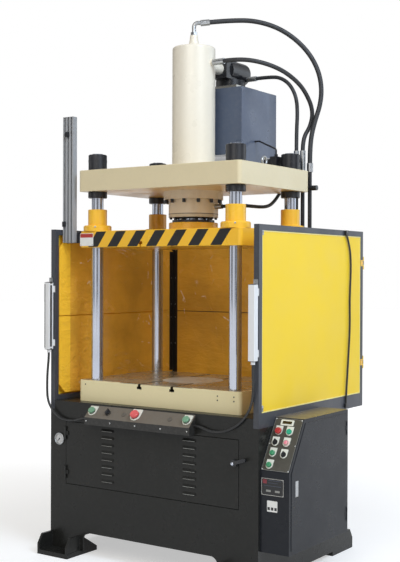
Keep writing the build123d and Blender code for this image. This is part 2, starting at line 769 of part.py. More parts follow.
# Ram with its piston
with BuildPart() as ram:
    with BuildSketch(level(BOSS_TOP)):
        with Locations(AXIS_PLACE):
            Circle(RAM_RADIUS)
    extrude(amount=PISTON_TOP - BOSS_TOP)
    with BuildSketch(level(PISTON_TOP)):
        with Locations(AXIS_PLACE):
            Circle(PISTON_RADIUS)
    extrude(amount=-PISTON_HEIGHT)
keep(ram.part, "ram")

# Ring that bolts the ram to the slide's boss
with BuildPart() as ram_flange:
    with BuildSketch(level(BOSS_TOP)):
        with Locations(AXIS_PLACE):
            Circle(RAM_FLANGE_RADIUS)
            Circle(RAM_RADIUS + SEAT_CLEARANCE, mode=Mode.SUBTRACT)
    extrude(amount=RAM_FLANGE)
    with BuildSketch(level(BOSS_TOP + RAM_FLANGE)):
        with Locations(AXIS_PLACE):
            with PolarLocations(RAM_BOLT_CIRCLE, RAM_BOLT_COUNT):
                Circle(RAM_BOLT_RADIUS)
    extrude(amount=RAM_BOLT_HEAD)
keep(ram_flange.part, "ram_flange")

def bell_profile():
    """Half section of the bell on top of the cylinder, wide at the foot."""
    points = [(0, BARREL_TOP + TOP_BELL_HEIGHT), (0, BARREL_TOP - 1), (TOP_BELL_RADIUS, BARREL_TOP - 1)]
    for step in range(BELL_STEPS + 1):
        share = step / BELL_STEPS
        radius = TOP_BELL_WAIST + (TOP_BELL_RADIUS - TOP_BELL_WAIST) * (1 - share) ** 2
        points.append((radius, BARREL_TOP + share * TOP_BELL_HEIGHT))
    return points


# Main cylinder: lower drum, flange under the crown, barrel, closed top and ports
SIDE_PORT_Z = CROWN_TOP + SIDE_PORT_RISE
LOWER_PORT_Z = CROWN_BOTTOM - LOWER_PORT_DROP
TANK_TOP = CROWN_TOP + TANK_LIFT + TANK_HEIGHT
VALVE_BLOCK_Y = PRESS_Y + VALVE_SETBACK
VALVE_CENTRE_Z = TANK_TOP + LID_HEIGHT + VALVE_FLANGE + VALVE_BLOCK / 2
bore = PISTON_RADIUS + GUIDE_CLEARANCE
with BuildPart() as main_cylinder:
    with BuildSketch(facing_front(PRESS_Y)):
        outline(
            (0, BARREL_TOP),
            (BARREL_RADIUS, BARREL_TOP),
            (BARREL_RADIUS, CROWN_BOTTOM),
            (CYLINDER_FLANGE_RADIUS, CROWN_BOTTOM),
            (CYLINDER_FLANGE_RADIUS, CROWN_BOTTOM - CYLINDER_FLANGE),
            (DRUM_RADIUS, CROWN_BOTTOM - CYLINDER_FLANGE),
            (DRUM_RADIUS, DRUM_BOTTOM),
            (bore, DRUM_BOTTOM),
            (bore, BARREL_TOP - BARREL_CAP),
            (0, BARREL_TOP - BARREL_CAP),
        )
    revolve(axis=Axis((0, PRESS_Y, 0), (0, 0, 1)))
    fillet(main_cylinder.faces().sort_by(Axis.Z)[-1].edges(), BARREL_ROUNDING)
    with BuildSketch(facing_front(PRESS_Y)):
        outline(*bell_profile())
    revolve(axis=Axis((0, PRESS_Y, 0), (0, 0, 1)))
    with BuildSketch(level(CROWN_BOTTOM - CYLINDER_FLANGE)):
        with Locations(AXIS_PLACE):
            with PolarLocations(FLANGE_BOLT_CIRCLE, FLANGE_BOLT_COUNT, start_angle=15):
                Circle(FLANGE_BOLT_RADIUS)
    extrude(amount=-FLANGE_BOLT_HEAD)
    with BuildSketch(facing_right(BARREL_RADIUS - TANK_WALL)):
        with Locations((PRESS_Y, SIDE_PORT_Z)):
            Circle(PORT_BOSS_RADIUS)
    extrude(amount=TANK_WALL + PORT_BOSS)
    with BuildSketch(facing_right(DRUM_RADIUS - TANK_WALL)):
        with Locations((PRESS_Y, LOWER_PORT_Z)):
            Circle(PORT_BOSS_RADIUS)
    extrude(amount=TANK_WALL + PORT_BOSS)
    neck_start = PRESS_Y + BARREL_RADIUS - TANK_WALL
    with BuildSketch(facing_front(neck_start)):
        with Locations((0, VALVE_CENTRE_Z)):
            Circle(NECK_RADIUS)
    extrude(amount=-(VALVE_BLOCK_Y - VALVE_BLOCK / 2 - neck_start))
keep(main_cylinder.part, "main_cylinder")

# Gland that closes the cylinder round the ram
with BuildPart() as cylinder_gland:
    with BuildSketch(level(GLAND_BOTTOM)):
        with Locations(AXIS_PLACE):
            Circle(DRUM_RADIUS)
            Circle(RAM_RADIUS + GUIDE_CLEARANCE, mode=Mode.SUBTRACT)
    extrude(amount=GLAND_RING)
    with BuildSketch(level(DRUM_BOTTOM)):
        with Locations(AXIS_PLACE):
            Circle(PISTON_RADIUS)
            Circle(RAM_RADIUS + GUIDE_CLEARANCE, mode=Mode.SUBTRACT)
    extrude(amount=GLAND_SPIGOT)
    with BuildSketch(level(GLAND_BOTTOM)):
        with Locations(AXIS_PLACE):
            with PolarLocations(GLAND_BOLT_CIRCLE, GLAND_BOLT_COUNT):
                Circle(GLAND_BOLT_RADIUS)
    extrude(amount=-GLAND_BOLT_HEAD)
keep(cylinder_gland.part, "cylinder_gland")

# Ejector head with its stem and piston, and the cylinder under the deck
HEAD_BOTTOM = BED_TOP - EJECTOR_HEAD
EJECTOR_PISTON_Z = EJECTOR_BOTTOM + EJECTOR_FLANGE + KNUCKLE_GAP
with BuildPart() as ejector_head:
    with BuildSketch(level(HEAD_BOTTOM)):
        with Locations(AXIS_PLACE):
            Circle(EJECTOR_HEAD_RADIUS)
    extrude(amount=EJECTOR_HEAD)
    chamfer(ejector_head.faces().sort_by(Axis.Z)[-1].edges(), 1)
    with BuildSketch(level(EJECTOR_PISTON_Z)):
        with Locations(AXIS_PLACE):
            Circle(EJECTOR_STEM_RADIUS)
    extrude(amount=HEAD_BOTTOM - EJECTOR_PISTON_Z)
    with BuildSketch(level(EJECTOR_PISTON_Z)):
        with Locations(AXIS_PLACE):
            Circle(EJECTOR_PISTON_RADIUS)
    extrude(amount=EJECTOR_PISTON)
keep(ejector_head.part, "ejector_head")

with BuildPart() as ejector_cylinder:
    with BuildSketch(level(EJECTOR_BOTTOM)):
        with Locations(AXIS_PLACE):
            Circle(EJECTOR_BARREL_RADIUS)
    extrude(amount=EJECTOR_LENGTH)
    with BuildSketch(level(EJECTOR_BOTTOM + EJECTOR_LENGTH)):
        with Locations(AXIS_PLACE):
            Circle(EJECTOR_FLANGE_RADIUS)
    extrude(amount=-EJECTOR_FLANGE)
    with BuildSketch(level(EJECTOR_BOTTOM + EJECTOR_FLANGE)):
        with Locations(AXIS_PLACE):
            Circle(EJECTOR_PISTON_RADIUS + GUIDE_CLEARANCE)
    extrude(amount=EJECTOR_LENGTH - 2 * EJECTOR_FLANGE, mode=Mode.SUBTRACT)
    with BuildSketch(level(EJECTOR_BOTTOM + EJECTOR_FLANGE)):
        with Locations(AXIS_PLACE):
            Circle(EJECTOR_STEM_RADIUS + GUIDE_CLEARANCE)
    extrude(amount=EJECTOR_LENGTH - EJECTOR_FLANGE, mode=Mode.SUBTRACT)
keep(ejector_cylinder.part, "ejector_cylinder")

# Prefill tank: walls, floor above the crown, and two side skirts that stand on the crown
TANK_FLOOR = CROWN_TOP + TANK_LIFT
TANK_FRONT = PRESS_Y + TANK_SETBACK
TANK_REAR = TANK_FRONT + TANK_DEPTH
TANK_SIDE = TANK_WIDTH / 2
LID_FRONT = PRESS_Y + LID_SETBACK
with BuildPart() as oil_tank:
    with BuildSketch(level(TANK_FLOOR)):
        outline(*rectangle_points(-TANK_SIDE, TANK_FRONT, TANK_SIDE, TANK_REAR))
    extrude(amount=TANK_TOP - TANK_FLOOR)
    with BuildSketch(level(TANK_FLOOR + TANK_WALL)):
        outline(
            *rectangle_points(
                -TANK_SIDE + TANK_WALL, TANK_FRONT + TANK_WALL, TANK_SIDE - TANK_WALL, TANK_REAR - TANK_WALL
            )
        )
    extrude(amount=TANK_TOP - TANK_FLOOR - 2 * TANK_WALL, mode=Mode.SUBTRACT)
    with BuildSketch(level(TANK_TOP)):
        with Locations((0, LID_FRONT + LID_DEPTH / 2)):
            Rectangle(LID_WIDTH - 6 * TANK_WALL, LID_DEPTH - 6 * TANK_WALL)
    extrude(amount=-TANK_WALL, mode=Mode.SUBTRACT)
    for x in (-TANK_SIDE, TANK_SIDE - TANK_WALL):
        with BuildSketch(level(CROWN_TOP)):
            outline(*rectangle_points(x, TANK_FRONT, x + TANK_WALL, TANK_FRONT + TANK_LEG_DEPTH))
        extrude(amount=TANK_FLOOR - CROWN_TOP)
keep(oil_tank.part, "oil_tank")

with BuildPart() as tank_lid:
    with BuildSketch(level(TANK_TOP)):
        with Locations((0, LID_FRONT + LID_DEPTH / 2)):
            Rectangle(LID_WIDTH, LID_DEPTH)
    extrude(amount=LID_HEIGHT)
    chamfer(tank_lid.faces().sort_by(Axis.Z)[-1].edges(), 2)
keep(tank_lid.part, "tank_lid")

# Filling valve: flange on the lid, square block and round body towards the back
LID_TOP = TANK_TOP + LID_HEIGHT
PILOT_PORT_Y = PRESS_Y + PILOT_PORT_SETBACK
PILOT_PORT_Z = CROWN_TOP + PILOT_PORT_RISE
with BuildPart() as filling_valve:
    with BuildSketch(level(LID_TOP)):
        with Locations((0, LID_FRONT + LID_DEPTH / 2)):
            Circle(VALVE_FLANGE_RADIUS)
    extrude(amount=VALVE_FLANGE)
    with BuildSketch(facing_front(VALVE_BLOCK_Y - VALVE_BLOCK / 2)):
        with Locations((0, VALVE_CENTRE_Z)):
            Rectangle(VALVE_BLOCK, VALVE_BLOCK)
    extrude(amount=-VALVE_BLOCK)
    with BuildSketch(facing_front(VALVE_BLOCK_Y)):
        with Locations((0, VALVE_CENTRE_Z)):
            Circle(VALVE_BODY_RADIUS)
    extrude(amount=-VALVE_LENGTH)
    chamfer(filling_valve.faces().sort_by(Axis.Y)[-1].edges(), 5)
    with BuildSketch(facing_right(VALVE_BLOCK / 4)):
        with Locations((PILOT_PORT_Y, PILOT_PORT_Z)):
            Circle(PORT_BOSS_RADIUS)
    extrude(amount=PILOT_PORT_REACH - VALVE_BLOCK / 4)
    valve_y = PRESS_Y + PILOT_VALVE_SETBACK
    valve_top = CROWN_TOP + PILOT_VALVE_HEIGHT
    with BuildSketch(level(CROWN_TOP)):
        with Locations((PILOT_VALVE_X, valve_y)):
            Rectangle(PILOT_VALVE_WIDTH, PILOT_VALVE_DEPTH)
    extrude(amount=PILOT_VALVE_HEIGHT)
    for start, radius, length in (
        (PILOT_VALVE_X - PILOT_VALVE_WIDTH / 2, SOLENOID_RADIUS, -SOLENOID_LENGTH),
        (PILOT_VALVE_X - PILOT_VALVE_WIDTH / 2 - SOLENOID_LENGTH, SPOOL_CAP_RADIUS, -SPOOL_CAP),
    ):
        with BuildSketch(facing_right(start)):
            with Locations((valve_y, CROWN_TOP + SOLENOID_RISE)):
                Circle(radius)
        extrude(amount=length)
    with BuildSketch(level(valve_top)):
        with Locations((PILOT_VALVE_X, valve_y)):
            RegularPolygon(VALVE_NUT_RADIUS, 6)
    extrude(amount=VALVE_NUT)
    tube_start = (TANK_WIDTH / 2, valve_y, CROWN_TOP + TUBE_RISE)
    with BuildLine() as tube_route:
        FilletPolyline(
            tube_start,
            (TANK_WIDTH / 2 + 2 * TUBE_BEND, valve_y, CROWN_TOP + TUBE_RISE),
            (PILOT_VALVE_X, valve_y, valve_top + 3 * VALVE_NUT),
            (PILOT_VALVE_X, valve_y, valve_top + VALVE_NUT / 2),
            radius=TUBE_BEND,
        )
    with BuildSketch(Plane(origin=tube_start, z_dir=(1, 0, 0))):
        Circle(TUBE_RADIUS)
    sweep(path=tube_route.line)
keep(filling_valve.part, "filling_valve")


def add_pipe(x, top):
    """Steel pipe that rises from the back of the base, with one bend."""
    bend_z = PIPE_ENTRY_Z
    entry = BASE_REAR - SHEET
    turn_y = BASE_REAR + PIPE_BEND
    knee_z = DECK_TOP + 2 * PIPE_BEND
    points = (
        (x, entry, bend_z),
        (x, turn_y, bend_z),
        (x, turn_y, knee_z - PIPE_BEND),
        (x, PIPE_Y, knee_z + PIPE_BEND),
        (x, PIPE_Y, top),
    )
    with BuildLine() as route:
        FilletPolyline(*points, radius=PIPE_BEND * 0.8)
    with BuildSketch(Plane(origin=points[0], z_dir=(0, 1, 0))) as section:
        Circle(PIPE_RADIUS)
    sweep(section.sketch, path=route.line)


with BuildPart() as oil_pipes:
    add_pipe(MAIN_PIPE_X, MAIN_PIPE_TOP)
    add_pipe(RETURN_PIPE_X, RETURN_PIPE_TOP)
    add_pipe(PILOT_PIPE_X, PILOT_PIPE_TOP)
    with BuildSketch(facing_right(MAIN_PIPE_X)):
        with Locations((PIPE_Y, CROWN_TOP - PLUG_DROP)):
            Circle(PLUG_RADIUS)
    extrude(amount=PLUG_REACH)
keep(oil_pipes.part, "oil_pipes")


def from_crown(*points):
    """Route whose points are given from the press axis in Y and the crown's top in Z."""
    return tuple((x, PRESS_Y + y, CROWN_TOP + z) for x, y, z in points)


def from_shoulder(*points):
    """Route whose points are given from the base's front in Y and its shoulder in Z."""
    return tuple((x, BASE_FRONT + y, SHOULDER_HEIGHT + z) for x, y, z in points)


# Routes of the hoses and cables, from end to end
TOP_HOSE = from_crown(
    (57, 44.5, 689),
    (126, 98.5, 699),
    (229, 178.5, 701),
    (331, 257.5, 659),
    (418, 325.5, 569),
    (466, 362.5, 459),
    (473, 368.5, 339),
    (442, 345.5, 219),
    (MAIN_PIPE_X, PIPE_SETBACK, 129),
    (MAIN_PIPE_X, PIPE_SETBACK, 40),
)
SIDE_HOSE = from_crown(
    (168, 0, SIDE_PORT_RISE),
    (247, 0, SIDE_PORT_RISE),
    (326, 53.5, 479),
    (383, 136.5, 453),
    (412, 221.5, 415),
    (425, 291.5, 371),
    (430, 361.5, 294),
    (415, 366.5, 219),
    (RETURN_PIPE_X, PIPE_SETBACK, 159),
    (RETURN_PIPE_X, PIPE_SETBACK, 101),
)
PILOT_HOSE = from_crown(
    (125, 353.5, 469),
    (195, 353.5, 469),
    (262, 344.5, 459),
    (320, 337.5, 419),
    (356, 333.5, 354),
    (363, 332.5, 279),
    (PILOT_PIPE_X, PIPE_SETBACK, 194),
    (PILOT_PIPE_X, PIPE_SETBACK, 102),
)
LOWER_HOSE = from_crown(
    (160, 0, -CROWN_THICKNESS - LOWER_PORT_DROP),
    (214, 0, -CROWN_THICKNESS - LOWER_PORT_DROP),
    (257, 25.5, -168),
    (279, 70.5, -170),
    (281, 131.5, -170),
    (276, 196.5, -165),
    (268, 255.5, -151),
    (268, 303.5, -119),
    (285, 332.5, -71),
    (309, 340.5, -23),
)
CABLE_PLANE_X = BASE_SIDE + GUARD_CABLE_RADIUS + KNUCKLE_GAP
GUARD_CABLE = from_shoulder(
    (CABLE_PLANE_X, 773.5, 816),
    (CABLE_PLANE_X, 799.5, 774),
    (CABLE_PLANE_X, 817.5, 714),
    (CABLE_PLANE_X, 818.5, 638),
    (CABLE_PLANE_X, 811.5, 563),
    (CABLE_PLANE_X, 808.5, 488),
    (CABLE_PLANE_X, 811.5, 413),
    (CABLE_PLANE_X, 807.5, 338),
    (CABLE_PLANE_X, 798.5, 263),
    (CABLE_PLANE_X, 790.5, 188),
    (CABLE_PLANE_X, 781.5, 118),
    (CABLE_PLANE_X, 775.5, 68),
    (CABLE_PLANE_X, 773.5, 28),
)
LEFT_CABLE = from_shoulder(
    (CURTAIN_LEFT_X, -18, 263),
    (CURTAIN_LEFT_X, -18, 238),
    (-573, -15.5, 206),
    (-580, -12.5, 166),
    (-583, -11, 126),
    (-583, -11, 84),
    (-580, -11.5, 49),
    (-565, -12.5, 14),
    (-533, -13, -19),
    (-497, -13, -39),
    (-455, -13, -46),
    (-414, -14, -44),
    (-378, -16, -34),
    (-350, -18, -26),
    (CONSOLE_LEFT, -18, -26),
)
RIGHT_CABLE = from_shoulder(
    (CURTAIN_RIGHT_X, -18, 263),
    (CURTAIN_RIGHT_X, -18, 213),
    (552, -13.5, 158),
    (543, -9.5, 103),
    (518, -8.5, 52),
    (480, -9.5, 12),
    (430, -10.5, -16),
    (375, -9.5, -29),
    (325, -9.5, -26),
    (290, -9.5, -12),
    (CONSOLE_RIGHT, -9.5, -12),
)


def corner_radii(points):
    """Largest tangent arc that the two runs at each corner allow, nearly."""
    places = [Vector(*p) for p in points]
    radii = []
    for before, here, after in zip(places, places[1:], places[2:]):
        run_in = here - before
        run_out = after - here
        turn = radians(run_in.get_angle(run_out))
        radii.append(0.45 * min(run_in.length, run_out.length) / tan(turn / 2))
    return radii


def cord(points, radius, label):
    """Tube of straight runs and tangent arcs, with its volume compared with its length."""
    radii = corner_radii(points)
    start = Vector(*points[1]) - Vector(*points[0])
    with BuildPart() as tube:
        with BuildLine() as route:
            FilletPolyline(*points, radius=radii)
        with BuildSketch(Plane(origin=points[0], z_dir=start)):
            Circle(radius)
        sweep(path=route.line)
    length = sum(edge.length for edge in route.edges())
    share = tube.part.volume / (pi * radius**2 * length)
    print(label, "length", round(length), "volume share", round(share, 4))
    print("   radii", [round(r) for r in radii])
    keep(tube.part, label)


cord(TOP_HOSE, HOSE_RADIUS, "hose_top")
cord(SIDE_HOSE, SIDE_HOSE_RADIUS, "hose_side")
cord(PILOT_HOSE, PILOT_HOSE_RADIUS, "hose_pilot")
cord(LOWER_HOSE, LOWER_HOSE_RADIUS, "hose_lower")
cord(GUARD_CABLE, GUARD_CABLE_RADIUS, "guard_cable")
cord(LEFT_CABLE, CURTAIN_CABLE_RADIUS, "curtain_cable_left")
cord(RIGHT_CABLE, CURTAIN_CABLE_RADIUS, "curtain_cable_right")


def add_rod(start, end, radius):
    """Round rod from one point to another."""
    direction = Vector(*end) - Vector(*start)
    with BuildSketch(Plane(origin=start, z_dir=direction)) as section:
        Circle(radius)
    extrude(section.sketch, amount=direction.length)


def back_from(route, length):
    """Point that lies behind the first point of a route, in line with its first run."""
    first = Vector(*route[0])
    return first - (Vector(*route[1]) - first).normalized() * length


# Hose fittings: each is a ferrule with its nut, and the elbow at the top of the cylinder
BELL_TOP = BARREL_TOP + TOP_BELL_HEIGHT
ELBOW_Z = CROWN_TOP + ELBOW_RISE
ELBOW_START = (0, PRESS_Y, BELL_TOP)
with BuildPart() as hose_fittings:
    ferrule_start = back_from(TOP_HOSE, FITTING_LENGTH)
    with BuildLine() as elbow_route:
        FilletPolyline(ELBOW_START, (0, PRESS_Y, ELBOW_Z), tuple(ferrule_start), radius=ELBOW_BEND)
    with BuildSketch(Plane.XY.offset(BELL_TOP).shift_origin(ELBOW_START)):
        Circle(PIPE_RADIUS)
    sweep(path=elbow_route.line)
    with BuildSketch(level(BELL_TOP)):
        with Locations(AXIS_PLACE):
            RegularPolygon(PIPE_RADIUS + 2 * FITTING_OVERSIZE, 6)
    extrude(amount=ELBOW_NUT)
    add_rod(tuple(ferrule_start), TOP_HOSE[0], HOSE_RADIUS + FITTING_OVERSIZE)
    add_rod((BARREL_RADIUS + PORT_BOSS, PRESS_Y, SIDE_PORT_Z), SIDE_HOSE[0], SIDE_HOSE_RADIUS + FITTING_OVERSIZE)
    add_rod((DRUM_RADIUS + PORT_BOSS, PRESS_Y, LOWER_PORT_Z), LOWER_HOSE[0], LOWER_HOSE_RADIUS + FITTING_OVERSIZE)
    add_rod((PILOT_PORT_REACH, PILOT_PORT_Y, PILOT_PORT_Z), PILOT_HOSE[0], PILOT_HOSE_RADIUS + FITTING_OVERSIZE)
    add_rod((MAIN_PIPE_X, PIPE_Y, MAIN_PIPE_TOP), TOP_HOSE[-1], HOSE_RADIUS + FITTING_OVERSIZE)
    add_rod((RETURN_PIPE_X, PIPE_Y, RETURN_PIPE_TOP), SIDE_HOSE[-1], SIDE_HOSE_RADIUS + FITTING_OVERSIZE)
    add_rod((PILOT_PIPE_X, PIPE_Y, PILOT_PIPE_TOP), PILOT_HOSE[-1], PILOT_HOSE_RADIUS + FITTING_OVERSIZE)
    tee_end = back_from(LOWER_HOSE[::-1], TEE_REACH)
    add_rod(LOWER_HOSE[-1], tuple(tee_end), LOWER_HOSE_RADIUS + FITTING_OVERSIZE)
    with BuildSketch(level(tee_end.Z - TEE_HEIGHT / 2)):
        with Locations((PILOT_PIPE_X, PIPE_Y)):
            Rectangle(TEE_WIDTH, TEE_WIDTH)
    extrude(amount=TEE_HEIGHT)
    with BuildSketch(level(tee_end.Z - TEE_HEIGHT)):
        with Locations((PILOT_PIPE_X, PIPE_Y)):
            Circle(PIPE_RADIUS + SEAT_CLEARANCE)
    extrude(amount=PILOT_PIPE_TOP - tee_end.Z + TEE_HEIGHT, mode=Mode.SUBTRACT)
keep(hose_fittings.part, "hose_fittings")


def guard_frame(side):
    """Upright tube frame of one side guard, standing on the shoulder of the base."""
    low_x = BASE_SIDE - GUARD_TUBE if side > 0 else -BASE_SIDE
    bottom_rail_top = SHOULDER_HEIGHT + GUARD_BOTTOM_RAIL
    with BuildPart() as frame:
        with BuildSketch(facing_right(low_x)):
            outline(*rectangle_points(BASE_FRONT, SHOULDER_HEIGHT, GUARD_REAR, GUARD_TOP))
            cut_outline(
                *rectangle_points(
                    BASE_FRONT + GUARD_TUBE, bottom_rail_top, GUARD_REAR - GUARD_TUBE, GUARD_TOP - GUARD_TUBE
                )
            )
        extrude(amount=GUARD_TUBE)
        pin_x = side * (BASE_SIDE - REAR_PIN_INSET)
        pin_y = GUARD_REAR + KNUCKLE_RADIUS + KNUCKLE_GAP
        lug = rectangle_points(
            pin_x - PIN_RADIUS, GUARD_REAR - KNUCKLE_GAP, pin_x + PIN_RADIUS, pin_y - PIN_RADIUS
        )
        add_knuckles(pin_x, pin_y, REAR_HINGE_HEIGHTS, lug, bored=False)
    return frame.part


def outer_panel(side):
    """Yellow sheet that closes one guard frame, near its outer face."""
    face = side * (BASE_SIDE - OUTER_PANEL_INSET)
    with BuildPart() as panel:
        with BuildSketch(facing_right(face)):
            outline(
                *rectangle_points(
                    BASE_FRONT + GUARD_TUBE,
                    SHOULDER_HEIGHT + GUARD_BOTTOM_RAIL,
                    GUARD_REAR - GUARD_TUBE,
                    GUARD_TOP - GUARD_TUBE,
                )
            )
        extrude(amount=-side * OUTER_PANEL)
    return panel.part


def rear_door(side):
    """Framed door at the back, hung on the rear post of one guard."""
    low_z = SHOULDER_HEIGHT + REAR_DOOR_LIFT
    high_z = GUARD_TOP - REAR_DOOR_DROP
    free_x = side * REAR_DOOR_GAP / 2
    hung_x = side * (GUARD_INNER - REAR_DOOR_GAP)
    x_low = min(free_x, hung_x)
    x_high = max(free_x, hung_x)
    middle = SHOULDER_HEIGHT + INNER_PANEL_SEAM
    rail = GUARD_TUBE / 2
    pin_x = side * (BASE_SIDE - REAR_PIN_INSET)
    pin_y = GUARD_REAR + KNUCKLE_RADIUS + KNUCKLE_GAP
    with BuildPart() as door:
        with BuildSketch(facing_front(GUARD_REAR)):
            outline(*rectangle_points(x_low, low_z, x_high, high_z))
            for low, high in (
                (low_z + REAR_DOOR_RAIL, middle - rail),
                (middle + rail, high_z - REAR_DOOR_RAIL),
            ):
                cut_outline(*rectangle_points(x_low + GUARD_TUBE, low, x_high - GUARD_TUBE, high))
        extrude(amount=GUARD_TUBE)
        sheet_ends = (free_x + side * REAR_SHEET_REVEAL, hung_x - side * REAR_SHEET_EDGE)
        for low, high in (
            (low_z + REAR_SHEET_EDGE, middle - INNER_PANEL_JOINT / 2),
            (middle + INNER_PANEL_JOINT / 2, high_z - REAR_SHEET_EDGE),
        ):
            with BuildSketch(facing_front(GUARD_REAR - GUARD_TUBE)):
                outline(*rectangle_points(min(sheet_ends), low, max(sheet_ends), high))
            extrude(amount=REAR_DOOR_PANEL)
        strap_end = side * (GUARD_INNER - 1.5 * GUARD_TUBE)
        lug = rectangle_points(
            min(pin_x, strap_end), GUARD_REAR + KNUCKLE_GAP, max(pin_x, strap_end), GUARD_REAR + KNUCKLE_GAP + STRAP
        )
        add_knuckles(pin_x, pin_y, REAR_HINGE_HEIGHTS, lug, bored=True)
        for height in REAR_HINGE_HEIGHTS:
            pad_low = min(side * (GUARD_INNER - REAR_DOOR_GAP), strap_end)
            pad_high = max(side * (GUARD_INNER - REAR_DOOR_GAP), strap_end)
            with BuildSketch(level(height - KNUCKLE_LENGTH / 2 + KNUCKLE_GAP)):
                outline(*rectangle_points(pad_low, GUARD_REAR - KNUCKLE_GAP, pad_high, GUARD_REAR + KNUCKLE_GAP))
            extrude(amount=KNUCKLE_LENGTH - 2 * KNUCKLE_GAP)
    return door.part


for side, word in ((-1, "left"), (1, "right")):
    keep(guard_frame(side), f"guard_frame_{word}")
    keep(outer_panel(side), f"guard_panel_{word}")
    keep(rear_door(side), f"rear_door_{word}")

# Amber sheets on the inner side of both guards, in two halves on spacers from the outer sheets
PANEL_FRONT = BASE_FRONT + INNER_PANEL_INSET
PANEL_REAR = GUARD_REAR - INNER_PANEL_REAR_INSET
PANEL_BOTTOM = SHOULDER_HEIGHT + INNER_PANEL_LIFT
PANEL_TOP = GUARD_TOP - INNER_PANEL_DROP
PANEL_SEAM = SHOULDER_HEIGHT + INNER_PANEL_SEAM
with BuildPart() as inner_panels:
    for side in (-1, 1):
        for edge, seam in (
            (PANEL_BOTTOM, PANEL_SEAM - INNER_PANEL_JOINT / 2),
            (PANEL_TOP, PANEL_SEAM + INNER_PANEL_JOINT / 2),
        ):
            inward = 1 if seam > edge else -1
            cut_z = edge + inward * INNER_PANEL_CHAMFER
            with BuildSketch(facing_right(side * GUARD_INNER)):
                outline(
                    (PANEL_FRONT, seam),
                    (PANEL_FRONT, cut_z),
                    (PANEL_FRONT + INNER_PANEL_CHAMFER, edge),
                    (PANEL_REAR - INNER_PANEL_CHAMFER, edge),
                    (PANEL_REAR, cut_z),
                    (PANEL_REAR, seam),
                )
            extrude(amount=-side * INNER_PANEL)
            with BuildSketch(facing_right(side * GUARD_INNER)):
                with Locations(
                    *[
                        (y, z)
                        for y in (PANEL_FRONT + SPACER_INSET, PANEL_REAR - SPACER_INSET)
                        for z in (edge + inward * SPACER_INSET, seam - inward * SPACER_INSET)
                    ]
                ):
                    Circle(SPACER_RADIUS)
            extrude(amount=side * (GUARD_TUBE - OUTER_PANEL_INSET - OUTER_PANEL))
keep(inner_panels.part, "inner_panels")

# Light curtains with their brackets on the front posts
CURTAIN_BACK = BASE_FRONT - CURTAIN_BRACKET
CURTAIN_BOTTOM = SHOULDER_HEIGHT + CURTAIN_LIFT
CURTAIN_TOP = CURTAIN_BOTTOM + CURTAIN_LENGTH
with BuildPart() as light_curtains:
    for x, window in ((CURTAIN_LEFT_X, 1), (CURTAIN_RIGHT_X, -1)):
        middle_y = CURTAIN_BACK - CURTAIN / 2
        with BuildSketch(level(CURTAIN_BOTTOM)):
            with Locations((x, middle_y)):
                RectangleRounded(CURTAIN, CURTAIN, 2)
            with Locations((x + window * CURTAIN / 2, middle_y)):
                Rectangle(3, CURTAIN / 2, mode=Mode.SUBTRACT)
        extrude(amount=CURTAIN_TOP - CURTAIN_BOTTOM)
        with BuildSketch(level(CURTAIN_BOTTOM)):
            with Locations((x, middle_y)):
                Circle(CURTAIN_GLAND_RADIUS)
        extrude(amount=-CURTAIN_GLAND)
        side = 1 if x > 0 else -1
        reach_low = min(x - CURTAIN / 2, side * GUARD_INNER)
        reach_high = max(x + CURTAIN / 2, side * GUARD_INNER)
        if side > 0:
            reach_high = BASE_SIDE
        for low in (
            CURTAIN_BOTTOM + CURTAIN_BRACKET_INSET,
            CURTAIN_TOP - CURTAIN_BRACKET_INSET - CURTAIN_BRACKET_HEIGHT,
        ):
            with BuildSketch(level(low)):
                outline(*rectangle_points(reach_low, CURTAIN_BACK, reach_high, BASE_FRONT))
            extrude(amount=CURTAIN_BRACKET_HEIGHT)
keep(light_curtains.part, "light_curtains")

# Limit rail that rises and falls with the slide, and its bracket and dogs
RAIL_FRONT = PRESS_Y - SLIDE_DEPTH / 2 - RAIL_FORWARD
RAIL_BOTTOM = SLIDE_BOTTOM + RAIL_LIFT
RAIL_X = RAIL_LEFT_X + RAIL_WIDTH / 2
with BuildPart() as limit_rail:
    with BuildSketch(level(RAIL_BOTTOM)):
        with Locations((RAIL_X, RAIL_FRONT + RAIL_DEPTH / 2)):
            Rectangle(RAIL_WIDTH, RAIL_DEPTH)
        with Locations((RAIL_X, RAIL_FRONT + RAIL_SLOT_DEPTH / 2)):
            with GridLocations(RAIL_SLOT_PITCH, 0, 3, 1):
                Rectangle(RAIL_SLOT, RAIL_SLOT_DEPTH, mode=Mode.SUBTRACT)
    extrude(amount=RAIL_LENGTH)
keep(limit_rail.part, "limit_rail")

with BuildPart() as rail_fittings:
    rail_back = RAIL_FRONT + RAIL_DEPTH
    bracket_low = RAIL_BOTTOM - 2
    slide_end = -PLATEN_WIDTH / 2
    with BuildSketch(level(bracket_low)):
        outline(*rectangle_points(RAIL_LEFT_X, rail_back, slide_end, rail_back + RAIL_BRACKET))
        outline(*rectangle_points(slide_end - RAIL_BRACKET, rail_back, slide_end, rail_back + RAIL_BRACKET_HEIGHT))
    extrude(amount=SLIDE_TOP - 4 - bracket_low)
    for offset, lift in DOG_PLACES:
        with BuildSketch(level(RAIL_BOTTOM + lift - DOG_HEIGHT / 2)):
            with Locations((RAIL_X + offset, RAIL_FRONT - DOG_DEPTH / 2)):
                Rectangle(DOG_WIDTH, DOG_DEPTH)
        extrude(amount=DOG_HEIGHT)
keep(rail_fittings.part, "rail_fittings")

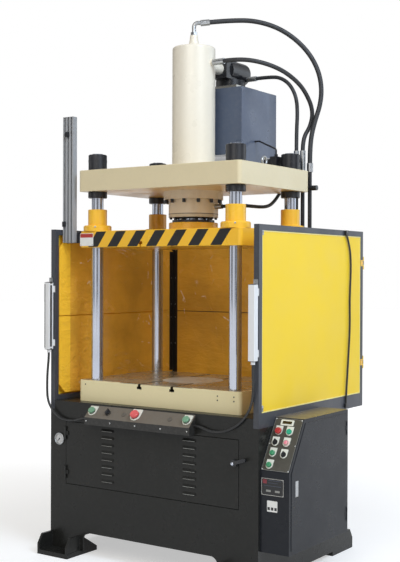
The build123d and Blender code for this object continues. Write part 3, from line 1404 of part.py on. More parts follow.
# Two-hand console: a folded case with a sloping face
CONSOLE_SLOPE = hypot(CONSOLE_REACH, CONSOLE_TOP - CONSOLE_LIP)
CONSOLE_NORMAL = (0, -(CONSOLE_TOP - CONSOLE_LIP) / CONSOLE_SLOPE, CONSOLE_REACH / CONSOLE_SLOPE)
CONSOLE_FACE = Plane(
    origin=(0, BASE_FRONT - CONSOLE_REACH / 2, (CONSOLE_TOP + CONSOLE_LIP) / 2),
    x_dir=(1, 0, 0),
    z_dir=CONSOLE_NORMAL,
)
with BuildPart() as console:
    with BuildSketch(facing_right(CONSOLE_LEFT)):
        outline(
            (BASE_FRONT, CONSOLE_TOP),
            (BASE_FRONT - CONSOLE_REACH, CONSOLE_LIP),
            (BASE_FRONT - CONSOLE_REACH, CONSOLE_BOTTOM),
            (BASE_FRONT, CONSOLE_BOTTOM),
        )
    extrude(amount=CONSOLE_RIGHT - CONSOLE_LEFT)
    with BuildSketch(facing_right(CONSOLE_LEFT + CONSOLE_WALL)):
        outline(
            (BASE_FRONT, CONSOLE_TOP - 1.6 * CONSOLE_WALL),
            (BASE_FRONT - CONSOLE_REACH + CONSOLE_WALL, CONSOLE_LIP - CONSOLE_WALL / 2),
            (BASE_FRONT - CONSOLE_REACH + CONSOLE_WALL, CONSOLE_BOTTOM + CONSOLE_WALL),
            (BASE_FRONT, CONSOLE_BOTTOM + CONSOLE_WALL),
        )
    extrude(amount=CONSOLE_RIGHT - CONSOLE_LEFT - 2 * CONSOLE_WALL, mode=Mode.SUBTRACT)
    with BuildSketch(CONSOLE_FACE):
        with Locations((PALM_LEFT_X, 0), (PALM_RIGHT_X, 0), (ESTOP_X, 0), (KNOB_X, 0)):
            Circle(BUTTON_BEZEL_RADIUS)
    extrude(amount=BUTTON_BEZEL)
    with BuildSketch(CONSOLE_FACE.offset(BUTTON_BEZEL)):
        with Locations((PALM_LEFT_X, 0), (PALM_RIGHT_X, 0), (ESTOP_X, 0), (KNOB_X, 0)):
            Circle(BUTTON_STEM + BUTTON_HOLE_CLEARANCE)
    extrude(amount=-3 * CONSOLE_WALL - BUTTON_BEZEL, mode=Mode.SUBTRACT)
keep(console.part, "console")


def push_button(face, x, y, radius, cap, travel, bezel):
    """Domed cap on a stem, lifted off its bezel by its travel."""
    seat = face.offset(bezel + travel + KNUCKLE_GAP)
    with BuildPart() as button:
        with BuildSketch(seat):
            with Locations((x, y)):
                Circle(radius)
        extrude(amount=cap)
        fillet(button.faces().sort_by(Axis(face.origin, face.z_dir))[-1].edges(), cap * 0.4)
        with BuildSketch(seat):
            with Locations((x, y)):
                Circle(BUTTON_STEM)
        extrude(amount=-BUTTON_STEM_LENGTH)
    return button.part


def selector_knob(face, x, y, radius):
    """Round knob with a raised bar across it, on a stem."""
    seat = face.offset(BUTTON_BEZEL + PIN_CLEARANCE)
    with BuildPart() as knob:
        with BuildSketch(seat):
            with Locations((x, y)):
                Circle(radius)
        extrude(amount=SELECTOR_BAR_HEIGHT / 2)
        with BuildSketch(seat):
            with Locations((x, y)):
                SlotOverall(2.3 * radius, SELECTOR_BAR, rotation=90)
        extrude(amount=SELECTOR_BAR_HEIGHT)
        with BuildSketch(seat):
            with Locations((x, y)):
                Circle(BUTTON_STEM)
        extrude(amount=-BUTTON_STEM_LENGTH)
    return knob.part


keep(push_button(CONSOLE_FACE, PALM_LEFT_X, 0, PALM_RADIUS, 9, PALM_TRAVEL, BUTTON_BEZEL), "palm_button_left")
keep(push_button(CONSOLE_FACE, PALM_RIGHT_X, 0, PALM_RADIUS, 9, PALM_TRAVEL, BUTTON_BEZEL), "palm_button_right")
keep(push_button(CONSOLE_FACE, ESTOP_X, 0, ESTOP_RADIUS, 13, ESTOP_TRAVEL, BUTTON_BEZEL), "emergency_stop")
keep(selector_knob(CONSOLE_FACE, KNOB_X, 0, KNOB_RADIUS), "console_knob")

# Electrical cabinet on the right side of the base, with a sloping panel
SLOPE_BACK = CABINET_FRONT + CABINET_SLOPE_DEPTH
SLOPE_RISE = CABINET_TOP - CABINET_SLOPE_FOOT
SLOPE_LENGTH = hypot(CABINET_SLOPE_DEPTH, SLOPE_RISE)
PANEL_NORMAL = (0, -SLOPE_RISE / SLOPE_LENGTH, CABINET_SLOPE_DEPTH / SLOPE_LENGTH)
PANEL_FACE = Plane(
    origin=(BASE_SIDE, CABINET_FRONT, CABINET_SLOPE_FOOT), x_dir=(1, 0, 0), z_dir=PANEL_NORMAL
)


def cabinet_outline(inset):
    """Side view of the cabinet, drawn in by inset all round."""
    lean = inset * (SLOPE_LENGTH - CABINET_SLOPE_DEPTH) / SLOPE_RISE
    slide_in = inset * (SLOPE_LENGTH - SLOPE_RISE) / CABINET_SLOPE_DEPTH
    return (
        (CABINET_FRONT + inset, CABINET_BOTTOM + inset),
        (CABINET_FRONT + inset, CABINET_SLOPE_FOOT - slide_in),
        (SLOPE_BACK + lean, CABINET_TOP - inset),
        (CABINET_REAR - inset, CABINET_TOP - inset),
        (CABINET_REAR - inset, CABINET_BOTTOM + inset),
    )


STATIONS = list(PANEL_SELECTORS.values()) + [place[:2] for place in PANEL_BUTTONS.values()]
CABINET_HINGE_X = CABINET_SIDE + SMALL_KNUCKLE_RADIUS + PIN_CLEARANCE
CABINET_HINGE_Y = CABINET_REAR - CABINET_DOOR_MARGIN + SMALL_KNUCKLE_RADIUS + KNUCKLE_GAP
CABINET_HINGE_HEIGHTS = (CABINET_BOTTOM + CABINET_HINGE_INSET, CABINET_TOP - CABINET_HINGE_INSET)
SMALL_HINGE = {"radius": SMALL_KNUCKLE_RADIUS, "pin": SMALL_PIN_RADIUS}
with BuildPart() as cabinet_body:
    with BuildSketch(facing_right(BASE_SIDE)):
        outline(*cabinet_outline(0))
    extrude(amount=CABINET_WIDTH)
    with BuildSketch(facing_right(BASE_SIDE + CABINET_WALL)):
        outline(*cabinet_outline(CABINET_WALL))
    extrude(amount=CABINET_WIDTH - 2 * CABINET_WALL, mode=Mode.SUBTRACT)
    with BuildSketch(facing_right(CABINET_SIDE - CABINET_WALL)):
        outline(*cabinet_outline(CABINET_RIM))
    extrude(amount=CABINET_WALL, mode=Mode.SUBTRACT)
    with BuildSketch(PANEL_FACE):
        with Locations(*STATIONS):
            Circle(BUTTON_STEM + BUTTON_HOLE_CLEARANCE)
        with Locations(*PILOT_LAMPS):
            Circle(BUTTON_STEM + SEAT_CLEARANCE)
    extrude(amount=-2 * CABINET_WALL, mode=Mode.SUBTRACT)
    cabinet_lug = rectangle_points(
        CABINET_SIDE - CABINET_WALL / 2,
        CABINET_HINGE_Y,
        CABINET_HINGE_X,
        CABINET_HINGE_Y + SMALL_KNUCKLE_RADIUS,
    )
    add_knuckles(
        CABINET_HINGE_X, CABINET_HINGE_Y, CABINET_HINGE_HEIGHTS, cabinet_lug, bored=False, **SMALL_HINGE
    )
keep(cabinet_body.part, "cabinet_body")

LATCH_Y = CABINET_FRONT + LATCH_SETBACK
LATCH_TOP = CABINET_SLOPE_FOOT - LATCH_DROP
LATCH_BOTTOM = LATCH_TOP - LATCH_HEIGHT
DOOR_FACE_X = CABINET_SIDE + CABINET_DOOR
LATCH_PIN_PLACE = (DOOR_FACE_X - LATCH_THICKNESS / 2, LATCH_TOP - LATCH_PIN_DROP)
with BuildPart() as cabinet_door:
    with BuildSketch(facing_right(CABINET_SIDE)):
        outline(*cabinet_outline(CABINET_DOOR_MARGIN))
    extrude(amount=CABINET_DOOR)
    cup_rim = 2 * CABINET_DOOR
    cup_places = (LATCH_Y, (LATCH_TOP + LATCH_BOTTOM) / 2)
    cup_width = LATCH_WIDTH + 2 * LATCH_CLEARANCE
    cup_height = LATCH_HEIGHT + 2 * LATCH_CLEARANCE
    with BuildSketch(facing_right(CABINET_SIDE)):
        with Locations(cup_places):
            Rectangle(cup_width + cup_rim, cup_height + cup_rim)
    extrude(amount=-LATCH_CUP_DEPTH)
    with BuildSketch(facing_right(DOOR_FACE_X)):
        with Locations(cup_places):
            Rectangle(cup_width, cup_height)
    extrude(amount=-LATCH_CUP_DEPTH, mode=Mode.SUBTRACT)
    with BuildSketch(facing_front(LATCH_Y - cup_width / 2 - CABINET_DOOR)):
        with Locations(LATCH_PIN_PLACE):
            Circle(LATCH_PIN_RADIUS + PIN_CLEARANCE)
    extrude(amount=-cup_width - 2 * CABINET_DOOR, mode=Mode.SUBTRACT)
    door_lug = rectangle_points(
        CABINET_SIDE + CABINET_DOOR / 2,
        CABINET_HINGE_Y - 3 * STRAP,
        CABINET_HINGE_X,
        CABINET_HINGE_Y - SMALL_PIN_RADIUS,
    )
    add_knuckles(CABINET_HINGE_X, CABINET_HINGE_Y, CABINET_HINGE_HEIGHTS, door_lug, bored=True, **SMALL_HINGE)
keep(cabinet_door.part, "cabinet_door")

# Paddle latch, hinged along its top edge inside the cup
with BuildPart() as cabinet_latch:
    with BuildSketch(facing_right(DOOR_FACE_X)):
        with Locations(cup_places):
            Rectangle(LATCH_WIDTH, LATCH_HEIGHT)
    extrude(amount=-LATCH_THICKNESS)
    fillet(cabinet_latch.faces().sort_by(Axis.X)[-1].edges(), 1.5)
    pin_half = LATCH_WIDTH / 2 + LATCH_CLEARANCE + CABINET_DOOR - KNUCKLE_GAP
    with BuildSketch(facing_front(LATCH_Y - pin_half)):
        with Locations(LATCH_PIN_PLACE):
            Circle(LATCH_PIN_RADIUS)
    extrude(amount=-2 * pin_half)
keep(cabinet_latch.part, "cabinet_latch")

for name, (x, y, radius) in PANEL_BUTTONS.items():
    keep(push_button(PANEL_FACE, x, y, radius, PANEL_BUTTON_CAP, PANEL_BUTTON_TRAVEL, 0), name)
for name, (x, y) in PANEL_SELECTORS.items():
    keep(selector_knob(PANEL_FACE.offset(-BUTTON_BEZEL), x, y, PANEL_BUTTON_RADIUS), name)

# Lenses of the two pilot lamps
with BuildPart() as pilot_lamps:
    with BuildSketch(PANEL_FACE):
        with Locations(*PILOT_LAMPS):
            Circle(PANEL_BUTTON_RADIUS)
    extrude(amount=PANEL_BUTTON_CAP)
    with BuildSketch(PANEL_FACE):
        with Locations(*PILOT_LAMPS):
            Circle(BUTTON_STEM)
    extrude(amount=-BUTTON_STEM_LENGTH)
keep(pilot_lamps.part, "pilot_lamps")

# Switchgear on the plate at the back of the cabinet
with BuildPart() as switchgear_plate:
    plate_x = BASE_SIDE + CABINET_WALL
    with BuildSketch(facing_right(plate_x)):
        outline(*cabinet_outline(CABINET_RIM))
    extrude(amount=MOUNTING_PLATE)
    gear_x = plate_x + MOUNTING_PLATE
    middle_y = (CABINET_FRONT + CABINET_REAR) / 2
    for row_z, count, width, height, depth in (
        (580.0, 4, 45.0, 78.0, 82.0),
        (430.0, 5, 36.0, 84.0, 70.0),
        (285.0, 9, 18.0, 60.0, 46.0),
    ):
        with BuildSketch(facing_right(gear_x)):
            with Locations((middle_y + CABINET_RIM, row_z)):
                with GridLocations(width + 6, 0, count, 1):
                    Rectangle(width, height)
        extrude(amount=depth)
keep(switchgear_plate.part, "switchgear_plate")

# Front door: a folded tray with two columns of louvres
DOOR_BORE = HANDLE_SHAFT_RADIUS + GUIDE_CLEARANCE
with BuildPart() as front_door:
    with BuildSketch(facing_front(BASE_FRONT)):
        outline(*rectangle_points(DOOR_LEFT, DOOR_BOTTOM, DOOR_RIGHT, DOOR_TOP))
    extrude(amount=-DOOR_TRAY)
    with BuildSketch(facing_front(BASE_FRONT + DOOR_SKIN)):
        outline(
            *rectangle_points(
                DOOR_LEFT + DOOR_SKIN, DOOR_BOTTOM + DOOR_SKIN, DOOR_RIGHT - DOOR_SKIN, DOOR_TOP - DOOR_SKIN
            )
        )
    extrude(amount=-DOOR_TRAY, mode=Mode.SUBTRACT)
    for column in (-LOUVRE_COLUMN_X, LOUVRE_COLUMN_X):
        for step in range(LOUVRE_COUNT):
            z = LOUVRE_BOTTOM + step * LOUVRE_PITCH
            with BuildSketch(facing_right(column - LOUVRE_LENGTH / 2)):
                outline(
                    (BASE_FRONT, z),
                    (BASE_FRONT - LOUVRE_HOOD, z),
                    (BASE_FRONT, z + LOUVRE_HOOD_HEIGHT),
                )
            extrude(amount=LOUVRE_LENGTH)
            with BuildSketch(facing_right(column - LOUVRE_LENGTH / 2 + 1)):
                outline(
                    (BASE_FRONT + DOOR_SKIN, z),
                    (BASE_FRONT - LOUVRE_HOOD + 1.5, z),
                    (BASE_FRONT + DOOR_SKIN, z + LOUVRE_HOOD_HEIGHT + LOUVRE_SLOT / 2),
                )
            extrude(amount=LOUVRE_LENGTH - 2, mode=Mode.SUBTRACT)
    with BuildSketch(facing_front(BASE_FRONT)):
        with Locations((HANDLE_X, HANDLE_Z)):
            Circle(DOOR_BORE)
    extrude(amount=-DOOR_SKIN, mode=Mode.SUBTRACT)
    front_door_lug = rectangle_points(
        FRONT_HINGE_X + PIN_RADIUS + 1, FRONT_HINGE_Y, FRONT_HINGE_X + KNUCKLE_RADIUS + 2 * STRAP, BASE_FRONT + 1
    )
    add_knuckles(FRONT_HINGE_X, FRONT_HINGE_Y, FRONT_HINGE_HEIGHTS, front_door_lug, bored=True)
keep(front_door.part, "front_door")

# Door handle: hub, lever over the seam, shaft and tongue behind the front plate
HANDLE_PLANE = facing_front(BASE_FRONT - GUIDE_CLEARANCE)
TONGUE_Y = BASE_FRONT + DOOR_TRAY + KNUCKLE_GAP
with BuildPart() as door_handle:
    with BuildSketch(HANDLE_PLANE):
        with Locations((HANDLE_X, HANDLE_Z)):
            Circle(HANDLE_HUB_RADIUS)
    extrude(amount=HANDLE_HUB)
    with BuildSketch(HANDLE_PLANE.offset(HANDLE_HUB)):
        with Locations((HANDLE_X, HANDLE_Z)):
            with Locations(Location((0, 0), HANDLE_RISE)):
                with Locations((HANDLE_LENGTH / 2, 0)):
                    SlotOverall(HANDLE_LENGTH + HANDLE_WIDTH, HANDLE_WIDTH)
    extrude(amount=HANDLE_THICKNESS)
    with BuildSketch(HANDLE_PLANE):
        with Locations((HANDLE_X, HANDLE_Z)):
            Circle(HANDLE_SHAFT_RADIUS)
    extrude(amount=-(DOOR_TRAY + STRAP + KNUCKLE_GAP))
    with BuildSketch(facing_front(TONGUE_Y)):
        with Locations((HANDLE_X, HANDLE_Z + HANDLE_TONGUE / 2 - HANDLE_SHAFT_RADIUS)):
            Rectangle(HANDLE_WIDTH, HANDLE_TONGUE)
    extrude(amount=-STRAP)
keep(door_handle.part, "door_handle")

# Pressure gauge and its pointer
with BuildPart() as pressure_gauge:
    with BuildSketch(facing_front(BASE_FRONT)):
        with Locations((GAUGE_X, GAUGE_Z)):
            Circle(GAUGE_RADIUS)
    extrude(amount=GAUGE_BEZEL)
    with BuildSketch(facing_front(BASE_FRONT)):
        with Locations((GAUGE_X, GAUGE_Z)):
            Circle(GAUGE_CASE_RADIUS)
    extrude(amount=-GAUGE_CASE)
    with BuildSketch(facing_front(BASE_FRONT - GAUGE_BEZEL)):
        with Locations((GAUGE_X, GAUGE_Z)):
            Circle(GAUGE_CASE_RADIUS)
    extrude(amount=-GAUGE_RECESS, mode=Mode.SUBTRACT)
    with BuildSketch(facing_front(BASE_FRONT - GAUGE_BEZEL)):
        with Locations((GAUGE_X, GAUGE_Z)):
            Circle(NEEDLE_PIVOT_RADIUS + PIN_CLEARANCE)
    extrude(amount=-2 * GAUGE_RECESS, mode=Mode.SUBTRACT)
keep(pressure_gauge.part, "pressure_gauge")

NEEDLE_PLANE = facing_front(BASE_FRONT - GAUGE_BEZEL + GAUGE_RECESS - 1)
with BuildPart() as gauge_needle:
    with BuildSketch(NEEDLE_PLANE):
        with Locations((GAUGE_X, GAUGE_Z)):
            Circle(NEEDLE_HUB_RADIUS)
            with Locations(Location((0, 0), 225)):
                with Locations((NEEDLE_LENGTH / 2, 0)):
                    Rectangle(NEEDLE_LENGTH, NEEDLE_WIDTH)
    extrude(amount=NEEDLE_THICKNESS)
    with BuildSketch(NEEDLE_PLANE):
        with Locations((GAUGE_X, GAUGE_Z)):
            Circle(NEEDLE_PIVOT_RADIUS)
    extrude(amount=-GAUGE_RECESS)
keep(gauge_needle.part, "gauge_needle")

# Pump motor with fins, feet and terminal box
MOTOR_Y = BASE_FRONT + MOTOR_SETBACK
MOTOR_Z = SHELF_TOP + MOTOR_CENTRE_HEIGHT
MOTOR_RIGHT = MOTOR_LEFT + MOTOR_LENGTH
with BuildPart() as pump_motor:
    with BuildSketch(facing_right(MOTOR_LEFT)):
        with Locations((MOTOR_Y, MOTOR_Z)):
            Circle(MOTOR_RADIUS)
            with PolarLocations(MOTOR_RADIUS + MOTOR_FIN / 2 - 1, MOTOR_FINS):
                Rectangle(MOTOR_FIN, MOTOR_FIN_WIDTH)
    extrude(amount=MOTOR_LENGTH)
    with BuildSketch(level(SHELF_TOP)):
        with Locations(((MOTOR_LEFT + MOTOR_RIGHT) / 2, MOTOR_Y)):
            Rectangle(MOTOR_LENGTH * 0.7, 1.6 * MOTOR_RADIUS)
    extrude(amount=MOTOR_CENTRE_HEIGHT - 0.72 * MOTOR_RADIUS)
    with BuildSketch(level(MOTOR_Z)):
        with Locations(((MOTOR_LEFT + MOTOR_RIGHT) / 2, MOTOR_Y)):
            Rectangle(MOTOR_RADIUS, 0.9 * MOTOR_RADIUS)
    extrude(amount=MOTOR_RADIUS + 5 * MOTOR_FIN)
    with BuildSketch(facing_right(MOTOR_RIGHT)):
        with Locations((MOTOR_Y, MOTOR_Z)):
            Circle(SHAFT_RADIUS + GUIDE_CLEARANCE)
    extrude(amount=-SHAFT_SEAT - COUPLING_GAP, mode=Mode.SUBTRACT)
keep(pump_motor.part, "pump_motor")

# Coupling on the motor shaft, and the pump on its own foot
COUPLING_LEFT = MOTOR_RIGHT + COUPLING_GAP
PUMP_LEFT = COUPLING_LEFT + COUPLING_LENGTH + COUPLING_GAP
with BuildPart() as pump_coupling:
    with BuildSketch(facing_right(COUPLING_LEFT)):
        with Locations((MOTOR_Y, MOTOR_Z)):
            Circle(COUPLING_RADIUS)
    extrude(amount=COUPLING_LENGTH)
    with BuildSketch(facing_right(COUPLING_LEFT + COUPLING_LENGTH / 2)):
        with Locations((MOTOR_Y, MOTOR_Z)):
            Circle(COUPLING_RADIUS)
            Circle(COUPLING_RADIUS - COUPLING_GAP, mode=Mode.SUBTRACT)
    extrude(amount=COUPLING_GAP, mode=Mode.SUBTRACT)
    with BuildSketch(facing_right(MOTOR_RIGHT - SHAFT_SEAT)):
        with Locations((MOTOR_Y, MOTOR_Z)):
            Circle(SHAFT_RADIUS)
    extrude(amount=PUMP_LEFT + SHAFT_SEAT / 2 - MOTOR_RIGHT + SHAFT_SEAT)
keep(pump_coupling.part, "pump_coupling")

with BuildPart() as oil_pump:
    with BuildSketch(facing_right(PUMP_LEFT)):
        with Locations((MOTOR_Y, MOTOR_Z)):
            Circle(PUMP_RADIUS)
    extrude(amount=PUMP_LENGTH)
    with BuildSketch(facing_right(PUMP_LEFT)):
        outline(
            *rectangle_points(MOTOR_Y - PUMP_RADIUS, SHELF_TOP, MOTOR_Y + PUMP_RADIUS, MOTOR_Z + PUMP_RADIUS)
        )
    extrude(amount=PUMP_FOOT)
    with BuildSketch(level(SHELF_TOP)):
        outline(
            *rectangle_points(PUMP_LEFT, MOTOR_Y - PUMP_RADIUS, PUMP_LEFT + PUMP_LENGTH, MOTOR_Y + PUMP_RADIUS)
        )
    extrude(amount=PUMP_FOOT)
    with BuildSketch(facing_right(PUMP_LEFT)):
        with Locations((MOTOR_Y, MOTOR_Z)):
            Circle(SHAFT_RADIUS + GUIDE_CLEARANCE)
    extrude(amount=SHAFT_SEAT / 2 + COUPLING_GAP, mode=Mode.SUBTRACT)
keep(oil_pump.part, "oil_pump")

os.makedirs("parts", exist_ok=True)
for piece in pieces:
    export_step(piece, f"parts/{piece.label}.step")
print(len(pieces), "pieces")
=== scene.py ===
import math

import bmesh
import bpy
from mathutils import Matrix, Vector


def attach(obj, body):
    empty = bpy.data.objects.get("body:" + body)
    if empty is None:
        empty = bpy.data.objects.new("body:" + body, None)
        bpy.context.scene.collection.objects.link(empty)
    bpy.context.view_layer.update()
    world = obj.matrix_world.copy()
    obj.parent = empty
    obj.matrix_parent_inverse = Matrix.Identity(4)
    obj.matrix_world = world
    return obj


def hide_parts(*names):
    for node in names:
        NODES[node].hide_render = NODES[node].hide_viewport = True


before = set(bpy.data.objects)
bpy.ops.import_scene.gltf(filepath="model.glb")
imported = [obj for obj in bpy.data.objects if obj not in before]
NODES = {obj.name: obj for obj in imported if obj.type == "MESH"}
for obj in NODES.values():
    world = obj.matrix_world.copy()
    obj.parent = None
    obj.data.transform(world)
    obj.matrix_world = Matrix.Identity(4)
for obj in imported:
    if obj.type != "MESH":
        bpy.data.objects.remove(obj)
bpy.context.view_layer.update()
FIXED = "press_frame"
SLIDE = "press_slide"
MM = 0.001

UP = (0, 0, 1)
DOWN = (0, 0, -1)
FRONT = (0, -1, 0)
BACK = (0, 1, 0)
RIGHT = (1, 0, 0)
SIDES = (-1, 1)

# Sizes shared with the part's source, in millimetres
PRESS_Y = -41.5
BASE_FRONT = -387.5
BASE_SIDE = 569.0
COLUMN_X = 382.5
COLUMN_Y = 233.0
BED_TOP = 800.0
BED_FRONT = PRESS_Y - 290
SLIDE_BOTTOM = 1414.0
SLIDE_TOP = 1489.0
SLIDE_FRONT = PRESS_Y - 287.5
CROWN_TOP = 1771.0
CONSOLE_LEFT = -322.0
CONSOLE_MIDDLE = (BASE_FRONT - 24, 670)
CONSOLE_NORMAL = (0, -0.7213, 0.6925)
STOP_X = -47
PALM_PLACES = (-293, 229)
CABINET_FRONT = -374.0
PANEL_WIDTH = 136.0
PANEL_SLOPE = 239.8
PANEL_FOOT_Z = 492.5
PANEL_NORMAL = (0, -0.8571, 0.5151)
PANEL_UP = (0, 0.5151, 0.8571)
GUARD_REAR = 569.5
GUARD_POST = 25.0
GAUGE = (-512.0, 525.0)
CURTAIN_LEFT = -567.0
CURTAIN_RIGHT = 552.0
CURTAIN_Y = -405.5
CURTAIN_MIDDLE = 1095
CURTAIN_ENDS = (940.0, 1250.0)
RAIL_X = -507.0
RAIL_FRONT = -342.0
HANDLE = (455.0, 512.0)
LOUVRE_X = 225.0
LOUVRE_BOTTOM = 353.0
LOUVRE_PITCH = 32.6
LOUVRE_COUNT = 8


# Materials


def linear(code):
    """Linear colour with alpha from a hex code."""
    values = [int(code[i : i + 2], 16) / 255 for i in (1, 3, 5)]
    return tuple(v / 12.92 if v <= 0.04045 else ((v + 0.055) / 1.055) ** 2.4 for v in values) + (1.0,)


def shade(colour, factor):
    """A lighter or darker version of a colour."""
    return tuple(min(1.0, c * factor) for c in colour[:3]) + (1.0,)


def new_node(tree, kind, inputs=(), **settings):
    """Node with its inputs set or joined."""
    node = tree.nodes.new(kind)
    for key, value in settings.items():
        setattr(node, key, value)
    for key, value in dict(inputs).items():
        if hasattr(value, "is_linked"):
            tree.links.new(value, node.inputs[key])
        else:
            node.inputs[key].default_value = value
    return node


class Graph:
    """Short way to add and join the nodes of one material."""

    def __init__(self, name):
        self.material = bpy.data.materials.new(name)
        self.material.use_nodes = True
        self.tree = self.material.node_tree
        self.bsdf = self.tree.nodes["Principled BSDF"]
        self.output = self.tree.nodes["Material Output"]
        place = self.tree.nodes.new("ShaderNodeTexCoord")
        self.coords = place.outputs["Object"]
        self.normal = place.outputs["Normal"]

    def add(self, kind, inputs=(), **settings):
        """Node of this material."""
        return new_node(self.tree, kind, inputs, **settings)

    def link(self, source, socket):
        """Join an output to an input of the surface."""
        self.tree.links.new(source, self.bsdf.inputs[socket])

    def set(self, socket, value):
        """Constant on an input of the surface."""
        self.bsdf.inputs[socket].default_value = value

    def noise(self, scale, detail=3.0, stretch=None, rough=0.5):
        """Noise in object space, its scale in waves per metre."""
        coords = self.coords
        if stretch:
            coords = self.add("ShaderNodeMapping", {"Vector": coords, "Scale": stretch}).outputs[0]
        inputs = {"Vector": coords, "Scale": scale, "Detail": detail, "Roughness": rough}
        return self.add("ShaderNodeTexNoise", inputs).outputs["Fac"]

    def spread(self, value, low, high, start=0.3, end=0.7):
        """The value's middle range stretched from low to high."""
        inputs = {0: value, 1: start, 2: end, 3: low, 4: high}
        return self.add("ShaderNodeMapRange", inputs).outputs[0]

    def mix(self, factor, a, b):
        """Colour between a and b."""
        return self.add("ShaderNodeMix", {0: factor, 6: a, 7: b}, data_type="RGBA").outputs[2]

    def drift(self, noise, colour, low, high):
        """Colour that drifts between a darker and a lighter shade of itself."""
        return self.mix(self.spread(noise, 0, 1), shade(colour, low), shade(colour, high))

    def math(self, operation, a, b):
        """Result of one Math node."""
        return self.add("ShaderNodeMath", {0: a, 1: b}, operation=operation).outputs[0]

    def both(self, first, second):
        """1 where two masks are 1."""
        return self.math("MULTIPLY", first, second)

    def axis(self, letter):
        """One object coordinate, in metres."""
        return self.add("ShaderNodeSeparateXYZ", {0: self.coords}).outputs[letter]

    def beyond(self, letter, limit):
        """1 where an object coordinate is more than a limit in millimetres."""
        return self.math("GREATER_THAN", self.axis(letter), limit * MM)

    def before(self, letter, limit):
        """1 where an object coordinate is less than a limit in millimetres."""
        return self.math("LESS_THAN", self.axis(letter), limit * MM)

    def facing(self, direction, limit=0.9):
        """1 where the surface faces along a direction of the object."""
        node = self.add("ShaderNodeVectorMath", {0: self.normal, 1: direction}, operation="DOT_PRODUCT")
        return self.math("GREATER_THAN", node.outputs["Value"], limit)

    def bump(self, height, strength, distance, normal=None):
        """Normal bent by a height."""
        inputs = {"Height": height, "Strength": strength, "Distance": distance}
        if normal is not None:
            inputs["Normal"] = normal
        return self.add("ShaderNodeBump", inputs).outputs[0]


EDGE_ROUNDING = 0.0012
PAINT_GRAIN_DEPTH = 0.0006
METAL_GRAIN_DEPTH = 0.0004
PLASTIC_GRAIN_DEPTH = 0.0003
DUST = "#a9a59b"
# Colour of the painted highlights along the amber film's creases
FILM_PAINTED_GLINT = "#fff3dc"
# Strength of the amber sheets' painted glow
SHEET_PAINTED_GLOW = 0.1


def paint(
    name, code, roughness, variation, grain, grain_strength,
    coat=0.0, dust=0.0, edge=True, gloss=0.5, second=None, ground=None,
):
    """Sprayed paint: slow tone change, fine texture, a little dust and softened edges.

    second is another colour with the mask where it lies, ground a bare metal colour with its mask.
    """
    g = Graph(name)
    tone = g.drift(g.noise(2.3, 4.0), linear(code), 1 - variation, 1 + variation)
    if second:
        tone = g.mix(second[1](g), tone, linear(second[0]))
    if dust:
        tone = g.mix(g.spread(g.noise(60.0, 5.0), 0, dust, 0.45, 0.75), tone, linear(DUST))
    rough = g.spread(g.noise(9.0, 6.0), roughness - 0.07, roughness + 0.09)
    if ground:
        bare = ground[1](g)
        tone = g.mix(bare, tone, g.drift(g.noise(14.0, 6.0), linear(ground[0]), 0.8, 1.15))
        g.link(g.math("MULTIPLY", bare, 0.6), "Metallic")
        rough = g.math("SUBTRACT", rough, g.math("MULTIPLY", bare, 0.12))
    g.link(tone, "Base Color")
    g.link(rough, "Roughness")
    normal = g.add("ShaderNodeBevel", {"Radius": EDGE_ROUNDING}, samples=4).outputs[0] if edge else None
    g.link(g.bump(g.noise(grain, 2.0), grain_strength, PAINT_GRAIN_DEPTH, normal), "Normal")
    g.set("Specular IOR Level", gloss)
    g.set("Coat Weight", coat)
    g.set("Coat Roughness", 0.15)
    return g.material


def metal(name, code, roughness, stretch, scale, strength, variation, metallic=1.0):
    """Machined metal with its tool marks drawn out along one direction."""
    g = Graph(name)
    marks = g.noise(scale, 4.0, stretch)
    g.link(g.drift(g.noise(7.0, 5.0), linear(code), 1 - variation, 1 + variation), "Base Color")
    g.set("Metallic", metallic)
    g.link(g.spread(marks, roughness - 0.05, roughness + 0.08), "Roughness")
    g.link(g.bump(marks, strength, METAL_GRAIN_DEPTH), "Normal")
    return g.material


def plastic(name, code, roughness, variation=0.08, grain=1500.0, grain_strength=0.04):
    """Moulded plastic or rubber with a fine skin."""
    g = Graph(name)
    g.link(g.drift(g.noise(30.0, 4.0), linear(code), 1 - variation, 1 + variation), "Base Color")
    g.link(g.spread(g.noise(80.0), roughness - 0.05, roughness + 0.08), "Roughness")
    g.link(g.bump(g.noise(grain, 2.0), grain_strength, PLASTIC_GRAIN_DEPTH), "Normal")
    return g.material


